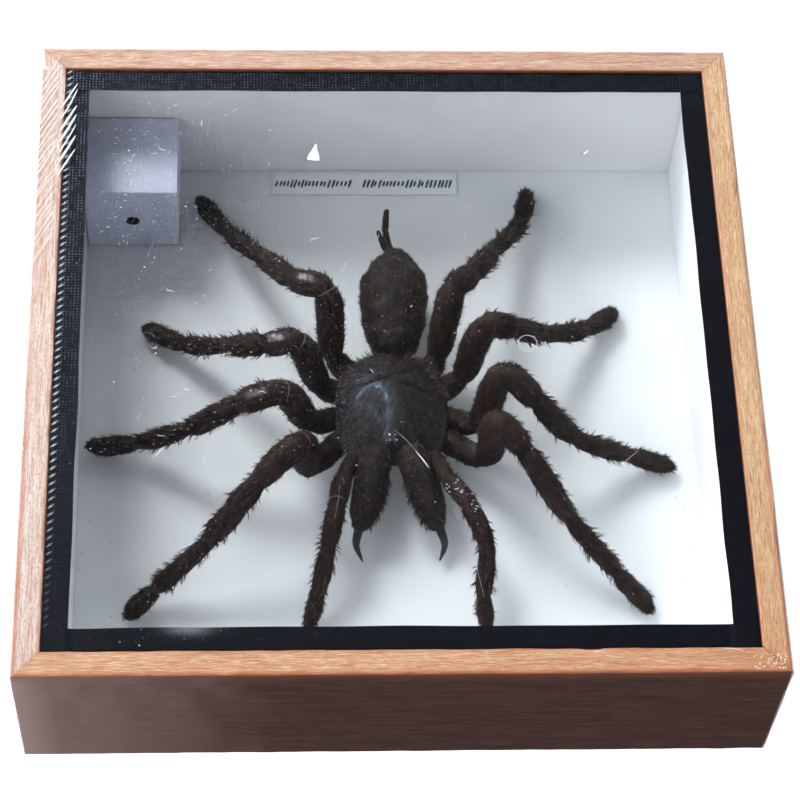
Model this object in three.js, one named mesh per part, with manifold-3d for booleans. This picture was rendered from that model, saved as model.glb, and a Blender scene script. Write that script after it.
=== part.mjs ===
// Framed tarantula: a dried spider in a square glazed wooden case, sealed in clear film.
// Millimetres, +Z up out of the glass, +Y towards the back rail, origin under the middle of the case.
import * as THREE from 'three';
import { mergeVertices } from 'three/addons/utils/BufferGeometryUtils.js';
import Module from 'manifold-3d';

const wasm = await Module();
wasm.setup();

// ---- Driving dimensions -------------------------------------------------------------------

const CASE_SIDE = 200; // outside of the square wooden frame
const CASE_HEIGHT = 50;
const RAIL = 7; // wood thickness, seen from above
const GAP = 0.3; // clearance between neighbouring pieces

const BACK_PANEL = { recess: 0.5, thick: 2.5 };
const BASE_CARD = { thick: 1.2 };
const LINER = { thick: 4.5 }; // foam board walls that carry the glass
const GLASS = { thick: 2.0 };
const TAPE = { width: 6.8, thick: 0.3 };
const FILM = { clearance: 0.5, thick: 0.3, hem: 0.3 };
const VENT = { radius: 2.6, place: [36.6, -1.1] }; // air hole in the film

const REPELLENT = { side: 27.2, holeRadius: 1.7, holeDepth: 6, holeX: 13.7, holeZ: 13 };
const LABEL = { width: 56, depth: 8, thick: 0.25, centre: [-5, 83.3] };

// Heights worked out from the bottom of the case
const CASE_HALF = CASE_SIDE / 2;
const INNER_HALF = CASE_HALF - RAIL; // inside face of the wood
const INSERT_HALF = INNER_HALF - GAP; // outside of everything set between the rails
const CAVITY_HALF = INSERT_HALF - LINER.thick; // inside face of the foam board
const PANEL_TOP = BACK_PANEL.recess + BACK_PANEL.thick;
const BASE_TOP = PANEL_TOP + GAP + BASE_CARD.thick;
const TAPE_TOP = CASE_HEIGHT - 0.9;
const GLASS_TOP = TAPE_TOP - TAPE.thick - GAP;
const LINER_TOP = GLASS_TOP - GLASS.thick - GAP;
const FLOOR_OF_LEGS = BASE_TOP + GAP; // lowest point of any foot

// The spider faces -Y. Each leg is a row of joints, from the coxa inside the body to the foot:
// coxa, trochanter, knee, end of patella, end of tibia, end of metatarsus, foot.
const LEG_RADII = [3.4, 3.8, 4.1, 3.5, 2.9, 2.6, 2.2];
const FOOT_Z = FLOOR_OF_LEGS + 2.2;
const RINGS_PER_SPAN = 3; // rings of facets between two joints
const LEG_JOINTS = {
  leg_1_left: [[-12, -10, 14], [-22.5, -20, 15], [-26, -24.5, 35], [-37, -34.5, 33],
    [-51, -47, 21], [-65.5, -56.5, 11], [-73, -62.5, FOOT_Z]],
  leg_2_left: [[-13, -4, 14], [-22, -6, 15], [-31, -8, 35], [-42.5, -10, 32],
    [-56.5, -12, 22], [-71.5, -10.5, 11], [-85, -9.5, FOOT_Z]],
  leg_3_left: [[-12, 3, 14], [-19, 5.5, 15], [-26.5, 8.5, 34], [-35, 10, 31],
    [-46, 15, 22], [-59, 22.5, 11], [-70, 30, FOOT_Z]],
  leg_4_left: [[-9, 8, 14], [-15.5, 15.5, 15], [-18.5, 26.5, 33], [-27, 32, 30.5],
    [-36, 45, 22], [-46, 61, 11], [-55, 75.5, FOOT_Z]],
  leg_1_right: [[13, -10, 14], [26, -17.5, 15], [29, -18, 35], [35.5, -25, 33],
    [48.5, -40, 21], [62, -52, 11], [71, -61.5, FOOT_Z]],
  leg_2_right: [[14, -4, 14], [24, -6.5, 15], [31.5, -2.5, 35], [40, -9, 32],
    [51.5, -14.5, 21], [68, -15, 11], [80.5, -16.5, FOOT_Z]],
  leg_3_right: [[13, 3, 14], [20.5, 8.5, 15], [27, 14, 34], [35, 15.5, 31],
    [44, 19, 22], [59, 27.5, 11], [69, 36, FOOT_Z]],
  leg_4_right: [[10, 8, 14], [14, 15.5, 15], [18.5, 27.5, 33], [23.5, 33.5, 30.5],
    [31, 47, 22], [41, 65, 11], [44, 78.5, FOOT_Z]],
};

// Palps: coxa, trochanter, knee, end of patella, end of tibia, foot.
const PALP_RADII = [2.8, 3.0, 3.1, 3.0, 2.4, 2.2];
const PALP_JOINTS = {
  pedipalp_left: [[-8, -14, 14], [-13.5, -26, 18], [-15.5, -36.5, 24], [-18, -47.5, 20],
    [-21, -59, 12.5], [-23.5, -66, FOOT_Z]],
  pedipalp_right: [[10, -14, 14], [15.5, -28, 21], [20.5, -38, 25], [25, -48, 21],
    [24.5, -61, 12.5], [25.5, -67, FOOT_Z]],
};

// Jaws and fangs hang forward and down from the front of the carapace.
const CHELICERA_RADII = [4.4, 4.7, 3.4];
const CHELICERA_JOINTS = {
  chelicera_left: [[-5, -19, 18.5], [-6.5, -28, 16.5], [-8.8, -37, 12]],
  chelicera_right: [[6.5, -19, 18.5], [9.5, -28, 16.5], [12.3, -37, 12]],
};
const FANG_RADII = [1.1, 0.9, 0.4];
const FANG_JOINTS = {
  fang_left: [[-9.6, -39.5, 10.5], [-10.8, -42.5, 9], [-8.6, -46.3, 7]],
  fang_right: [[13.4, -39.5, 10.5], [15, -42.5, 9], [13.3, -46, 7]],
};

const BODY_LOBES = [
  { centre: [0.5, -2.5, 19], radii: [16, 17.2, 5.6] }, // carapace
  { centre: [0.5, -3.5, 14.2], radii: [13.5, 15, 5] }, // sternum and leg sockets
];
const ABDOMEN = { centre: [2, 33.6, 17], radii: [9.8, 17.4, 8.4] };
const SPINNERET_JOINTS = {
  spinneret_long: { joints: [[1.8, 49, 16.5], [0.2, 57, 17], [0.6, 64.4, 18]], radii: [1.3, 1.1, 0.9] },
  spinneret_short: { joints: [[-0.2, 51, 16.8], [-2, 57, 17.6]], radii: [0.9, 0.7] },
};

// ---- Materials ----------------------------------------------------------------------------

const surface = (color, roughness) =>
  new THREE.MeshStandardMaterial({ color, roughness, metalness: 0 });

const MATERIALS = {
  wood: surface('#c08a5c', 0.6),
  board: surface('#8a6a4c', 0.85),
  card: surface('#eef0f6', 0.85),
  glass: new THREE.MeshStandardMaterial({
    color: '#eef6f4', roughness: 0.05, metalness: 0, transparent: true, opacity: 0.2,
  }),
  film: new THREE.MeshStandardMaterial({
    color: '#ffffff', roughness: 0.1, metalness: 0, transparent: true, opacity: 0.15,
  }),
  tape: surface('#101114', 0.5),
  foam: surface('#d9d8e6', 0.8),
  paper: surface('#e8ecf6', 0.8),
  velvet: surface('#33292a', 0.95),
  carapace: surface('#4d4640', 0.7),
  fang: surface('#15151c', 0.25),
};

// ---- Solid helpers ------------------------------------------------------------------------

function toSolid(geometry) {
  const bare = geometry.clone();
  bare.deleteAttribute('normal');
  bare.deleteAttribute('uv');
  const merged = mergeVertices(bare, 1e-4);
  return new wasm.Manifold(new wasm.Mesh({
    numProp: 3,
    vertProperties: new Float32Array(merged.attributes.position.array),
    triVerts: new Uint32Array(merged.index.array),
  }));
}

function toGeometry(solid) {
  const mesh = solid.getMesh();
  const geometry = new THREE.BufferGeometry();
  geometry.setAttribute('position', new THREE.BufferAttribute(mesh.vertProperties, 3));
  geometry.setIndex(new THREE.BufferAttribute(mesh.triVerts, 1));
  geometry.computeVertexNormals();
  return geometry;
}

function boxBetween(low, high) {
  const size = high.map((value, axis) => value - low[axis]);
  const centre = high.map((value, axis) => (value + low[axis]) / 2);
  return new THREE.BoxGeometry(...size).translate(...centre);
}

function ellipsoid({ centre, radii }, extra = 0) {
  const grown = radii.map((radius) => radius + extra);
  return new THREE.SphereGeometry(1, 20, 12).scale(...grown).translate(...centre);
}

// A round rod bent through its joints, as thick at each one as its radius there. A cylinder's
// rings are moved to the places along the path, square to it.
function limb(joints, radii, extra = 0, sides = 10) {
  const path = new THREE.CatmullRomCurve3(
    joints.map((joint) => new THREE.Vector3(...joint)),
    false,
    'centripetal',
  );
  const spans = joints.length - 1;
  const rings = spans * RINGS_PER_SPAN;
  const rod = new THREE.CylinderGeometry(1, 1, 1, sides, rings);
  const reach = path.points[spans].clone().sub(path.points[0]);
  const side = new THREE.Vector3(0, 0, 1).cross(reach);
  const position = rod.attributes.position;
  const vertex = new THREE.Vector3();
  for (let i = 0; i < position.count; i += 1) {
    vertex.fromBufferAttribute(position, i);
    const along = 0.5 - vertex.y;
    const joint = Math.min(Math.floor(along * spans), spans - 1);
    const radius = THREE.MathUtils.lerp(radii[joint], radii[joint + 1], along * spans - joint) + extra;
    const tangent = path.getTangent(along);
    const across = side.clone().projectOnPlane(tangent).setLength(vertex.x * radius);
    const outward = tangent.clone().cross(side).setLength(vertex.z * radius);
    const place = path.getPoint(along).add(across).add(outward);
    position.setXYZ(i, ...place.toArray());
  }
  return toSolid(rod);
}

// What is left of a solid after its neighbours are cut away, without loose crumbs.
function clearOf(solid, ...neighbours) {
  const cut = neighbours.reduce((left, other) => left.subtract(other), solid);
  return cut.decompose().reduce((a, b) => (a.volume() > b.volume() ? a : b));
}

// ---- The case -----------------------------------------------------------------------------

const model = new THREE.Group();

function addMesh(name, geometry, material) {
  const mesh = new THREE.Mesh(geometry, material);
  mesh.name = name;
  model.add(mesh);
  return mesh;
}

// One mitred rail along the front edge, turned about the middle of the case for the others.
function addRail(name, angle) {
  const reach = CASE_HALF - GAP / 2;
  const outline = new THREE.Shape([
    new THREE.Vector2(-reach, -CASE_HALF),
    new THREE.Vector2(reach, -CASE_HALF),
    new THREE.Vector2(reach - RAIL, -INNER_HALF),
    new THREE.Vector2(RAIL - reach, -INNER_HALF),
  ]);
  const rail = new THREE.ExtrudeGeometry(outline, { depth: CASE_HEIGHT, bevelEnabled: false });
  addMesh(name, rail, MATERIALS.wood).rotation.z = angle;
}

function addInserts() {
  const half = INSERT_HALF;
  const panel = boxBetween([-half, -half, BACK_PANEL.recess], [half, half, PANEL_TOP]);
  addMesh('back_panel', panel, MATERIALS.board);
  const card = boxBetween([-half, -half, PANEL_TOP + GAP], [half, half, BASE_TOP]);
  addMesh('base_card', card, MATERIALS.card);
  const glass = boxBetween([-half, -half, GLASS_TOP - GLASS.thick], [half, half, GLASS_TOP]);
  addMesh('glass_pane', glass, MATERIALS.glass);
}

function addLiners() {
  const low = BASE_TOP + GAP;
  const long = INSERT_HALF;
  const short = CAVITY_HALF - GAP;
  const wall = (length) => boxBetween(
    [-length, -INSERT_HALF, low],
    [length, -CAVITY_HALF, LINER_TOP],
  );
  addMesh('liner_front', wall(long), MATERIALS.card);
  addMesh('liner_back', wall(long), MATERIALS.card).rotation.z = Math.PI;
  addMesh('liner_right', wall(short), MATERIALS.card).rotation.z = Math.PI / 2;
  addMesh('liner_left', wall(short), MATERIALS.card).rotation.z = -Math.PI / 2;
}

// The front and back strips run full width, and the side strips fit between them.
function addTape() {
  const outer = INSERT_HALF;
  const inner = INSERT_HALF - TAPE.width;
  const low = TAPE_TOP - TAPE.thick;
  const strip = (length) => boxBetween([-length, -outer, low], [length, -inner, TAPE_TOP]);
  addMesh('tape_front', strip(outer), MATERIALS.tape);
  addMesh('tape_back', strip(outer), MATERIALS.tape).rotation.z = Math.PI;
  addMesh('tape_right', strip(inner - GAP), MATERIALS.tape).rotation.z = Math.PI / 2;
  addMesh('tape_left', strip(inner - GAP), MATERIALS.tape).rotation.z = -Math.PI / 2;
}

// Clear film drawn over the top and the four sides, with one air hole in the top.
function addFilm() {
  const inner = CASE_HALF + FILM.clearance;
  const outer = inner + FILM.thick;
  const innerTop = CASE_HEIGHT + FILM.clearance;
  let film = toSolid(boxBetween([-outer, -outer, FILM.hem], [outer, outer, innerTop + FILM.thick]));
  film = film.subtract(toSolid(boxBetween([-inner, -inner, -1], [inner, inner, innerTop])));
  const hole = new THREE.CylinderGeometry(VENT.radius, VENT.radius, 4, 24).rotateX(Math.PI / 2);
  film = film.subtract(toSolid(hole.translate(...VENT.place, innerTop)));
  addMesh('shrink_film', toGeometry(film), MATERIALS.film);
}

// A foam block of insect repellent in the back left corner, with a round hole in its front.
function addRepellent() {
  const { side, holeRadius, holeDepth, holeX, holeZ } = REPELLENT;
  const corner = [-CAVITY_HALF + GAP, CAVITY_HALF - GAP - side, BASE_TOP + GAP];
  const block = toSolid(boxBetween(corner, corner.map((value) => value + side)));
  const hole = new THREE.CylinderGeometry(holeRadius, holeRadius, holeDepth * 2, 20);
  hole.translate(corner[0] + holeX, corner[1], corner[2] + holeZ);
  addMesh('repellent_box', toGeometry(block.subtract(toSolid(hole))), MATERIALS.foam);
}

function addLabel() {
  const [x, y] = LABEL.centre;
  const low = BASE_TOP + GAP;
  const slip = boxBetween(
    [x - LABEL.width / 2, y - LABEL.depth / 2, low],
    [x + LABEL.width / 2, y + LABEL.depth / 2, low + LABEL.thick],
  );
  addMesh('label_slip', slip, MATERIALS.paper);
}

// ---- The spider ---------------------------------------------------------------------------

function bodySolid(extra = 0) {
  return BODY_LOBES.map((lobe) => toSolid(ellipsoid(lobe, extra))).reduce((a, b) => a.add(b));
}

function addSpider() {
  const bodyRoom = bodySolid(GAP);
  const add = (name, solid, material) => addMesh(name, toGeometry(solid), material);

  add('prosoma', bodySolid(), MATERIALS.carapace);
  add('abdomen', clearOf(toSolid(ellipsoid(ABDOMEN)), bodyRoom), MATERIALS.velvet);

  const taken = [bodyRoom];
  const addLimbs = (table, radii, material, sides) => {
    Object.entries(table).forEach(([name, joints]) => {
      add(name, clearOf(limb(joints, radii, 0, sides), ...taken), material);
      taken.push(limb(joints, radii, GAP, sides));
    });
  };
  addLimbs(CHELICERA_JOINTS, CHELICERA_RADII, MATERIALS.velvet, 14);
  addLimbs(FANG_JOINTS, FANG_RADII, MATERIALS.fang, 8);
  addLimbs(LEG_JOINTS, LEG_RADII, MATERIALS.velvet, 10);
  addLimbs(PALP_JOINTS, PALP_RADII, MATERIALS.velvet, 10);

  const abdomenRoom = toSolid(ellipsoid(ABDOMEN, GAP));
  const spinnerets = [abdomenRoom];
  Object.entries(SPINNERET_JOINTS).forEach(([name, { joints, radii }]) => {
    add(name, clearOf(limb(joints, radii, 0, 8), ...spinnerets), MATERIALS.velvet);
    spinnerets.push(limb(joints, radii, GAP, 8));
  });
}

addRail('rail_front', 0);
addRail('rail_right', Math.PI / 2);
addRail('rail_back', Math.PI);
addRail('rail_left', -Math.PI / 2);
addInserts();
addLiners();
addTape();
addFilm();
addRepellent();
addLabel();
addSpider();

export default model;
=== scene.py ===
import math

import bpy
import numpy as np
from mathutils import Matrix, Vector


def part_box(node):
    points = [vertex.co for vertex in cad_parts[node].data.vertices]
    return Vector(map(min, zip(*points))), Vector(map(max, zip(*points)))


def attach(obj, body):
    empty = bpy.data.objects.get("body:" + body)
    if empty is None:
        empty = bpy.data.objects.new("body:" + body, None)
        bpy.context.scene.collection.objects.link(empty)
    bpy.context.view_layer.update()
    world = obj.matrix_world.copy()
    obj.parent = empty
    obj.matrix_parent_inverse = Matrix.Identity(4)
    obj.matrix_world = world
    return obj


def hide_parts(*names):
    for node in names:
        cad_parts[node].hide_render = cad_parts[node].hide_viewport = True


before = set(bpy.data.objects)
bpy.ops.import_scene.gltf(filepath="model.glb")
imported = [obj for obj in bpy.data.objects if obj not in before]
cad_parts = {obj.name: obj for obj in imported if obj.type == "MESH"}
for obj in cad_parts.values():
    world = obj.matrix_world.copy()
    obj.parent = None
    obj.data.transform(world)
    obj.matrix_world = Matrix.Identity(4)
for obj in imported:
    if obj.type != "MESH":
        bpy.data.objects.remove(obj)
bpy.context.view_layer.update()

# Looks of the framed tarantula. Lengths here are in millimetres, in the frame of the CAD part:
# +Z up out of the glass, the spider faces -Y. make_piece() turns them into metres.

UP = np.array([0.0, 0.0, 1.0])


def box_mm(node):
    low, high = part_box(node)
    return np.array(low) * 1000, np.array(high) * 1000


RAIL_LOW, RAIL_HIGH = box_mm("rail_front")
CASE_HALF = RAIL_HIGH[0]
CASE_TOP = RAIL_HIGH[2]
RAIL = RAIL_HIGH[1] - RAIL_LOW[1]
FLOOR_Z = box_mm("base_card")[1][2]
FILM_TOP = box_mm("shrink_film")[1][2]

# The spider's joints, as in the CAD part.
FOOT_Z = 7.0
LEG_JOINTS = {
    "leg_1_left": [(-12, -10, 14), (-22.5, -20, 15), (-26, -24.5, 35), (-37, -34.5, 33),
                   (-51, -47, 21), (-65.5, -56.5, 11), (-73, -62.5, FOOT_Z)],
    "leg_2_left": [(-13, -4, 14), (-22, -6, 15), (-31, -8, 35), (-42.5, -10, 32),
                   (-56.5, -12, 22), (-71.5, -10.5, 11), (-85, -9.5, FOOT_Z)],
    "leg_3_left": [(-12, 3, 14), (-19, 5.5, 15), (-26.5, 8.5, 34), (-35, 10, 31),
                   (-46, 15, 22), (-59, 22.5, 11), (-70, 30, FOOT_Z)],
    "leg_4_left": [(-9, 8, 14), (-15.5, 15.5, 15), (-18.5, 26.5, 33), (-27, 32, 30.5),
                   (-36, 45, 22), (-46, 61, 11), (-55, 75.5, FOOT_Z)],
    "leg_1_right": [(13, -10, 14), (26, -17.5, 15), (29, -18, 35), (35.5, -25, 33),
                    (48.5, -40, 21), (62, -52, 11), (71, -61.5, FOOT_Z)],
    "leg_2_right": [(14, -4, 14), (24, -6.5, 15), (31.5, -2.5, 35), (40, -9, 32),
                    (51.5, -14.5, 21), (68, -15, 11), (80.5, -16.5, FOOT_Z)],
    "leg_3_right": [(13, 3, 14), (20.5, 8.5, 15), (27, 14, 34), (35, 15.5, 31),
                    (44, 19, 22), (58.5, 27.3, 11), (67.6, 35.6, FOOT_Z)],
    "leg_4_right": [(10, 8, 14), (14, 15.5, 15), (18.5, 27.5, 33), (23.5, 33.5, 30.5),
                    (31, 47, 22), (41, 65, 11), (44, 78.5, FOOT_Z)],
}
PALP_JOINTS = {
    "pedipalp_left": [(-8, -14, 14), (-13.5, -26, 18), (-15.5, -36.5, 24), (-18, -47.5, 20),
                      (-21, -59, 12.5), (-23.5, -66, FOOT_Z)],
    "pedipalp_right": [(10, -14, 14), (15.5, -28, 21), (20.5, -38, 25), (25, -48, 21),
                       (24.5, -61, 12.5), (25.5, -67, FOOT_Z)],
}
CHELICERA_JOINTS = {
    "chelicera_left": [(-4.3, -19, 18.5), (-6.2, -28, 16.5), (-8.8, -37, 12)],
    "chelicera_right": [(5.6, -19, 18.5), (8.9, -28, 16.5), (12.3, -37, 12)],
}
FANG_JOINTS = {
    "fang_left": [(-9.2, -37.6, 11), (-10.1, -42.2, 9.2), (-8.3, -46.4, 7)],
    "fang_right": [(13.2, -37.6, 11), (14.6, -42.2, 9.2), (13.2, -46.2, 7)],
}
SPINNERET_JOINTS = {
    "spinneret_long": [(1.8, 49, 16.5), (0.2, 57, 17), (0.6, 64.2, 18)],
    "spinneret_short": [(-0.2, 51.5, 16.8), (-2, 57, 17.6)],
}

# Half widths of the bare segments, without their hair, at STATIONS along each one.
STATIONS = (0, 0.15, 0.5, 0.85, 1)
LEG_SEGMENTS = (
    ("coxa", (2.9, 3.3, 3.4, 3.2, 2.7)),
    ("femur", (2.7, 3.5, 4.0, 3.8, 3.1)),
    ("patella", (3.0, 3.6, 3.7, 3.4, 2.7)),
    ("tibia", (2.3, 2.9, 3.2, 2.9, 2.2)),
    ("metatarsus", (1.7, 2.3, 2.5, 2.5, 1.7)),
    ("tarsus", (1.6, 2.3, 2.7, 2.4, 1.5)),
)
PALP_SEGMENTS = (
    ("coxa", (2.3, 2.5, 2.6, 2.4, 2.0)),
    ("femur", (2.0, 2.5, 2.7, 2.6, 2.2)),
    ("patella", (2.1, 2.5, 2.6, 2.5, 2.0)),
    ("tibia", (1.8, 2.2, 2.4, 2.2, 1.8)),
    ("tarsus", (1.7, 2.1, 2.2, 2.0, 1.4)),
)


# ---- Materials ------------------------------------------------------------------------------


def paint(red, green, blue):
    """A colour given as 0 to 255 on screen, as the linear values that shaders take."""
    linear = [(c / 255 / 12.92) if c < 11 else ((c / 255 + 0.055) / 1.055) ** 2.4
              for c in (red, green, blue)]
    return (*linear, 1.0)


class Graph:
    """Short calls that add shader nodes to a node tree and join them up."""

    def __init__(self, tree):
        self.tree = tree
        self.tree.nodes.clear()

    def node(self, kind, inputs=(), **settings):
        made = self.tree.nodes.new("ShaderNode" + kind)
        for key, value in settings.items():
            setattr(made, key, value)
        for key, value in dict(inputs).items():
            if isinstance(value, bpy.types.NodeSocket):
                self.tree.links.new(value, made.inputs[key])
            else:
                made.inputs[key].default_value = value
        return made

    def part(self, vector, axis):
        return self.node("SeparateXYZ", {0: vector}).outputs[axis]

    def math(self, operation, a, b=0.0):
        return self.node("Math", {0: a, 1: b}, operation=operation).outputs[0]

    def times(self, a, b):
        return self.math("MULTIPLY", a, b)

    def larger(self, a, b):
        return self.math("MAXIMUM", a, b)

    def unsigned(self, a):
        return self.math("ABSOLUTE", a)

    def span(self, value, low, high, to_low=0.0, to_high=1.0):
        return self.node("MapRange", {
            "Value": value, "From Min": low, "From Max": high, "To Min": to_low, "To Max": to_high,
        }).outputs[0]

    def mix(self, factor, a, b, blend="MIX"):
        return self.node("Mix", {0: factor, 6: a, 7: b}, data_type="RGBA", blend_type=blend).outputs[2]


class Finish(Graph):
    """A material being made."""

    def __init__(self, name):
        self.material = bpy.data.materials.new(name)
        self.material.use_nodes = True
        super().__init__(self.material.node_tree)
        self.place = self.node("TexCoord").outputs["Object"]

    def stretched(self, size, place=None):
        scale = tuple(1000 / s for s in np.broadcast_to(size, 3))
        return self.node("Mapping", {"Vector": place or self.place, "Scale": scale}).outputs[0]

    def noise(self, size, detail=3.0, rough=0.5, warp=0.0, place=None):
        """Noise with features about size mm long, one number or one for each axis."""
        return self.node("TexNoise", {
            "Vector": self.stretched(size, place), "Scale": 1.0, "Detail": detail,
            "Roughness": rough, "Distortion": warp,
        }).outputs["Fac"]

    def cells(self, size, place=None):
        """Distance from the nearest of scattered points about size mm apart."""
        inputs = {"Vector": self.stretched(size, place), "Scale": 1.0}
        return self.node("TexVoronoi", inputs).outputs["Distance"]

    def run(self):
        """What each mesh point carries: mm along and round its part, and a tint from 0 to 1."""
        return self.node("Attribute", attribute_name="run").outputs["Vector"]

    def bump(self, height, depth, below=None):
        """Bumps up to depth mm high. below is the normal of a coarser bump under them."""
        inputs = {"Height": height, "Distance": depth / 1000}
        if below is not None:
            inputs["Normal"] = below
        return self.node("Bump", inputs).outputs[0]

    def solid(self, inputs):
        """Joins up a Principled shader and returns the material."""
        shader = self.node("BsdfPrincipled", inputs).outputs[0]
        self.node("OutputMaterial", {"Surface": shader})
        return self.material

    def clear(self, inputs):
        """Clear stuff that bends and mirrors what is seen in it, and lets lamplight straight through."""
        shader = self.node("BsdfPrincipled", inputs).outputs[0]
        through = self.node("BsdfTransparent", {0: (0.97, 0.97, 0.97, 1)}).outputs[0]
        rays = self.node("LightPath").outputs
        bounced = self.node("MixShader", {0: rays["Is Diffuse Ray"], 1: shader, 2: through}).outputs[0]
        lamps = self.node("MixShader", {0: rays["Is Shadow Ray"], 1: bounced, 2: through}).outputs[0]
        self.node("OutputMaterial", {"Surface": lamps})
        return self.material


def wood(name, axis, pale, warm, fleck, flecks):
    """Oiled hardwood with its grain along one axis, short dark pores, and brown sides darkened partly by
    stain and partly by painted shade.
    """
    f = Finish(name)

    def grain(length, thick):
        return [length if i == axis else thick for i in range(3)]

    broad = f.noise(grain(60, 3.0), 3, 0.55, 0.8)
    threads = f.noise(grain(13, 0.5), 3, 0.6, 0.7)
    fibres = f.noise(grain(4, 0.26), 4, 0.7, 0.3)
    speckle = f.noise(grain(1.1, 0.5), 2, 0.6)
    pores = f.span(f.noise(grain(2.4, 0.3), 2, 0.5), 0.57, 0.66)
    patches = f.span(f.noise(grain(30, 8), 2), 0.35, 0.65, flecks * 0.4, flecks)
    tone = f.mix(f.span(broad, 0.32, 0.68), pale, warm)
    tone = f.mix(f.span(threads, 0.44, 0.62, 0.0, 0.75), tone, fleck)
    tone = f.mix(f.span(speckle, 0.48, 0.64, 0.0, 0.7), tone, paint(190, 112, 62))
    tone = f.mix(f.span(fibres, 0.36, 0.5, 0.55, 0.0), tone, paint(224, 200, 174))
    tone = f.mix(f.times(pores, patches), tone, paint(150, 92, 48))
    tone = f.mix(worn_edges(f), tone, paint(158, 82, 40))
    # The sides take a darker colour than the top: partly a brown stain, partly painted shade.
    facing = f.part(f.node("NewGeometry").outputs["Normal"], "Z")
    tone = f.mix(f.span(facing, 0.25, 0.8), side_stain_and_shade(f, f.noise(grain(14, 0.4), 4, 0.65, 0.4)), tone)
    normal = f.bump(pores, -0.05, f.bump(fibres, 0.05))
    return f.solid({"Base Color": tone, "Roughness": f.span(fibres, 0.3, 0.7, 0.42, 0.6),
                    "Normal": normal})


def worn_edges(f):
    """How far a rail's top is browned: its two long edges, the mitres, and the front right corner."""
    x, y = f.part(f.place, "X"), f.part(f.place, "Y")
    across, along = f.unsigned(x), f.unsigned(y)
    inset = f.math("SUBTRACT", CASE_HALF / 1000, f.larger(across, along))
    outer = f.span(inset, 0.0004, 0.0016, 0.85, 0.0)
    inner = f.span(inset, (RAIL - 1.1) / 1000, (RAIL - 0.3) / 1000, 0.0, 0.5)
    corner = f.span(f.math("SUBTRACT", x, y), 0.11, 0.2)
    mitre = f.span(f.unsigned(f.math("SUBTRACT", across, along)), 0.0002, 0.0009, 1.0, 0.0)
    mitre = f.times(mitre, f.span(corner, 0.0, 1.0, 0.3, 0.9))
    edges = f.larger(f.times(outer, f.span(y, -0.08, 0.0, 1.0, 0.4)), inner)
    return f.larger(f.times(corner, 0.26), f.larger(edges, mitre))


def side_stain_and_shade(f, lines):
    """Colour of the dark sides, a brown stain made darker by painted shade: redder under their top edge,
    paler towards the left end as painted light, with a painted reflection at that end.
    """
    tone = f.mix(f.span(lines, 0.34, 0.66), paint(40, 24, 20), paint(116, 72, 56))
    # Paler towards the left end: painted light.
    painted_left_light = f.span(f.part(f.place, "X"), -0.104, -0.03, 0.5, 0.0)
    tone = f.mix(painted_left_light, tone, paint(176, 116, 92))
    # A pale band at the very left end: painted reflection of the film's sheen.
    tone = f.mix(f.span(f.part(f.place, "X"), -0.1, -0.09, 0.6, 0.0), tone, paint(206, 170, 156))
    top = CASE_TOP / 1000
    return f.mix(f.span(f.part(f.place, "Z"), top - 0.005, top - 0.001, 0.0, 0.6), tone,
                 paint(146, 86, 54))


def plain(name, grain, cut, tones, rough, depth, extra=()):
    """Stuff in two tones, parted by a noise where it is between the ends of cut.

    The same noise makes bumps depth mm high, and spreads the roughness if rough gives two."""
    f = Finish(name)
    height = f.noise(*grain)
    tone = f.mix(f.span(height, *cut), *(paint(*tone) for tone in tones))
    if isinstance(rough, tuple):
        rough = f.span(height, 0.3, 0.7, *rough)
    inputs = {"Base Color": tone, "Roughness": rough, "Normal": f.bump(height, depth)}
    return f.solid({**inputs, **dict(extra)})


def board():
    """Brown pressed hardboard behind the case."""
    f = Finish("hardboard")
    chips = f.noise((2.6, 1.1, 1.0), 4, 0.7)
    tone = f.mix(f.span(chips, 0.35, 0.65), paint(92, 68, 48), paint(142, 112, 82))
    tone = f.mix(f.span(f.noise(24, 2), 0.4, 0.7, 0, 0.4), tone, paint(80, 60, 44))
    return f.solid({"Base Color": tone, "Roughness": 0.85, "Normal": f.bump(chips, 0.12)})


def card(name, tone, shade, stains):
    """White card with a faint tooth, cloudy grey patches and a few specks."""
    f = Finish(name)
    tooth = f.noise(0.5, 3, 0.6)
    clouds = f.noise(26, 3, 0.6, 0.5)
    colour = f.mix(f.span(clouds, 0.35, 0.7, 0, stains), tone, shade)
    specks = f.span(f.cells(5.5), 0.045, 0.075, 0.5, 0.0)
    colour = f.mix(specks, colour, paint(150, 148, 152))
    return f.solid({"Base Color": colour, "Roughness": f.span(tooth, 0.3, 0.7, 0.6, 0.8),
                    "Normal": f.bump(tooth, 0.03)})


def glass():
    """Thin picture glass with a few greasy smears."""
    f = Finish("glass")
    smear = f.noise((30, 9, 30), 4, 0.6, 1.2)
    return f.clear({"Base Color": paint(250, 254, 252), "Transmission Weight": 1.0, "IOR": 1.5,
                    "Roughness": f.span(smear, 0.5, 0.75, 0.0, 0.05)})


def film():
    """Clear shrink film with fine stretch lines."""
    f = Finish("film")
    facing = f.unsigned(f.part(f.node("NewGeometry").outputs["True Normal"], "Z"))
    flat = f.span(facing, 0.3, 0.8, 0.15, 1.0)
    lines = f.times(f.noise((1.2, 16, 6), 3, 0.6, 0.4), flat)
    crinkles = f.times(f.noise(5, 3, 0.55, 0.6), flat)
    normal = f.bump(lines, 0.01, f.bump(crinkles, 0.03))
    return f.clear({"Base Color": paint(252, 253, 255), "Transmission Weight": 1.0, "IOR": 1.45,
                    "Roughness": 0.03, "Normal": normal})


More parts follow.
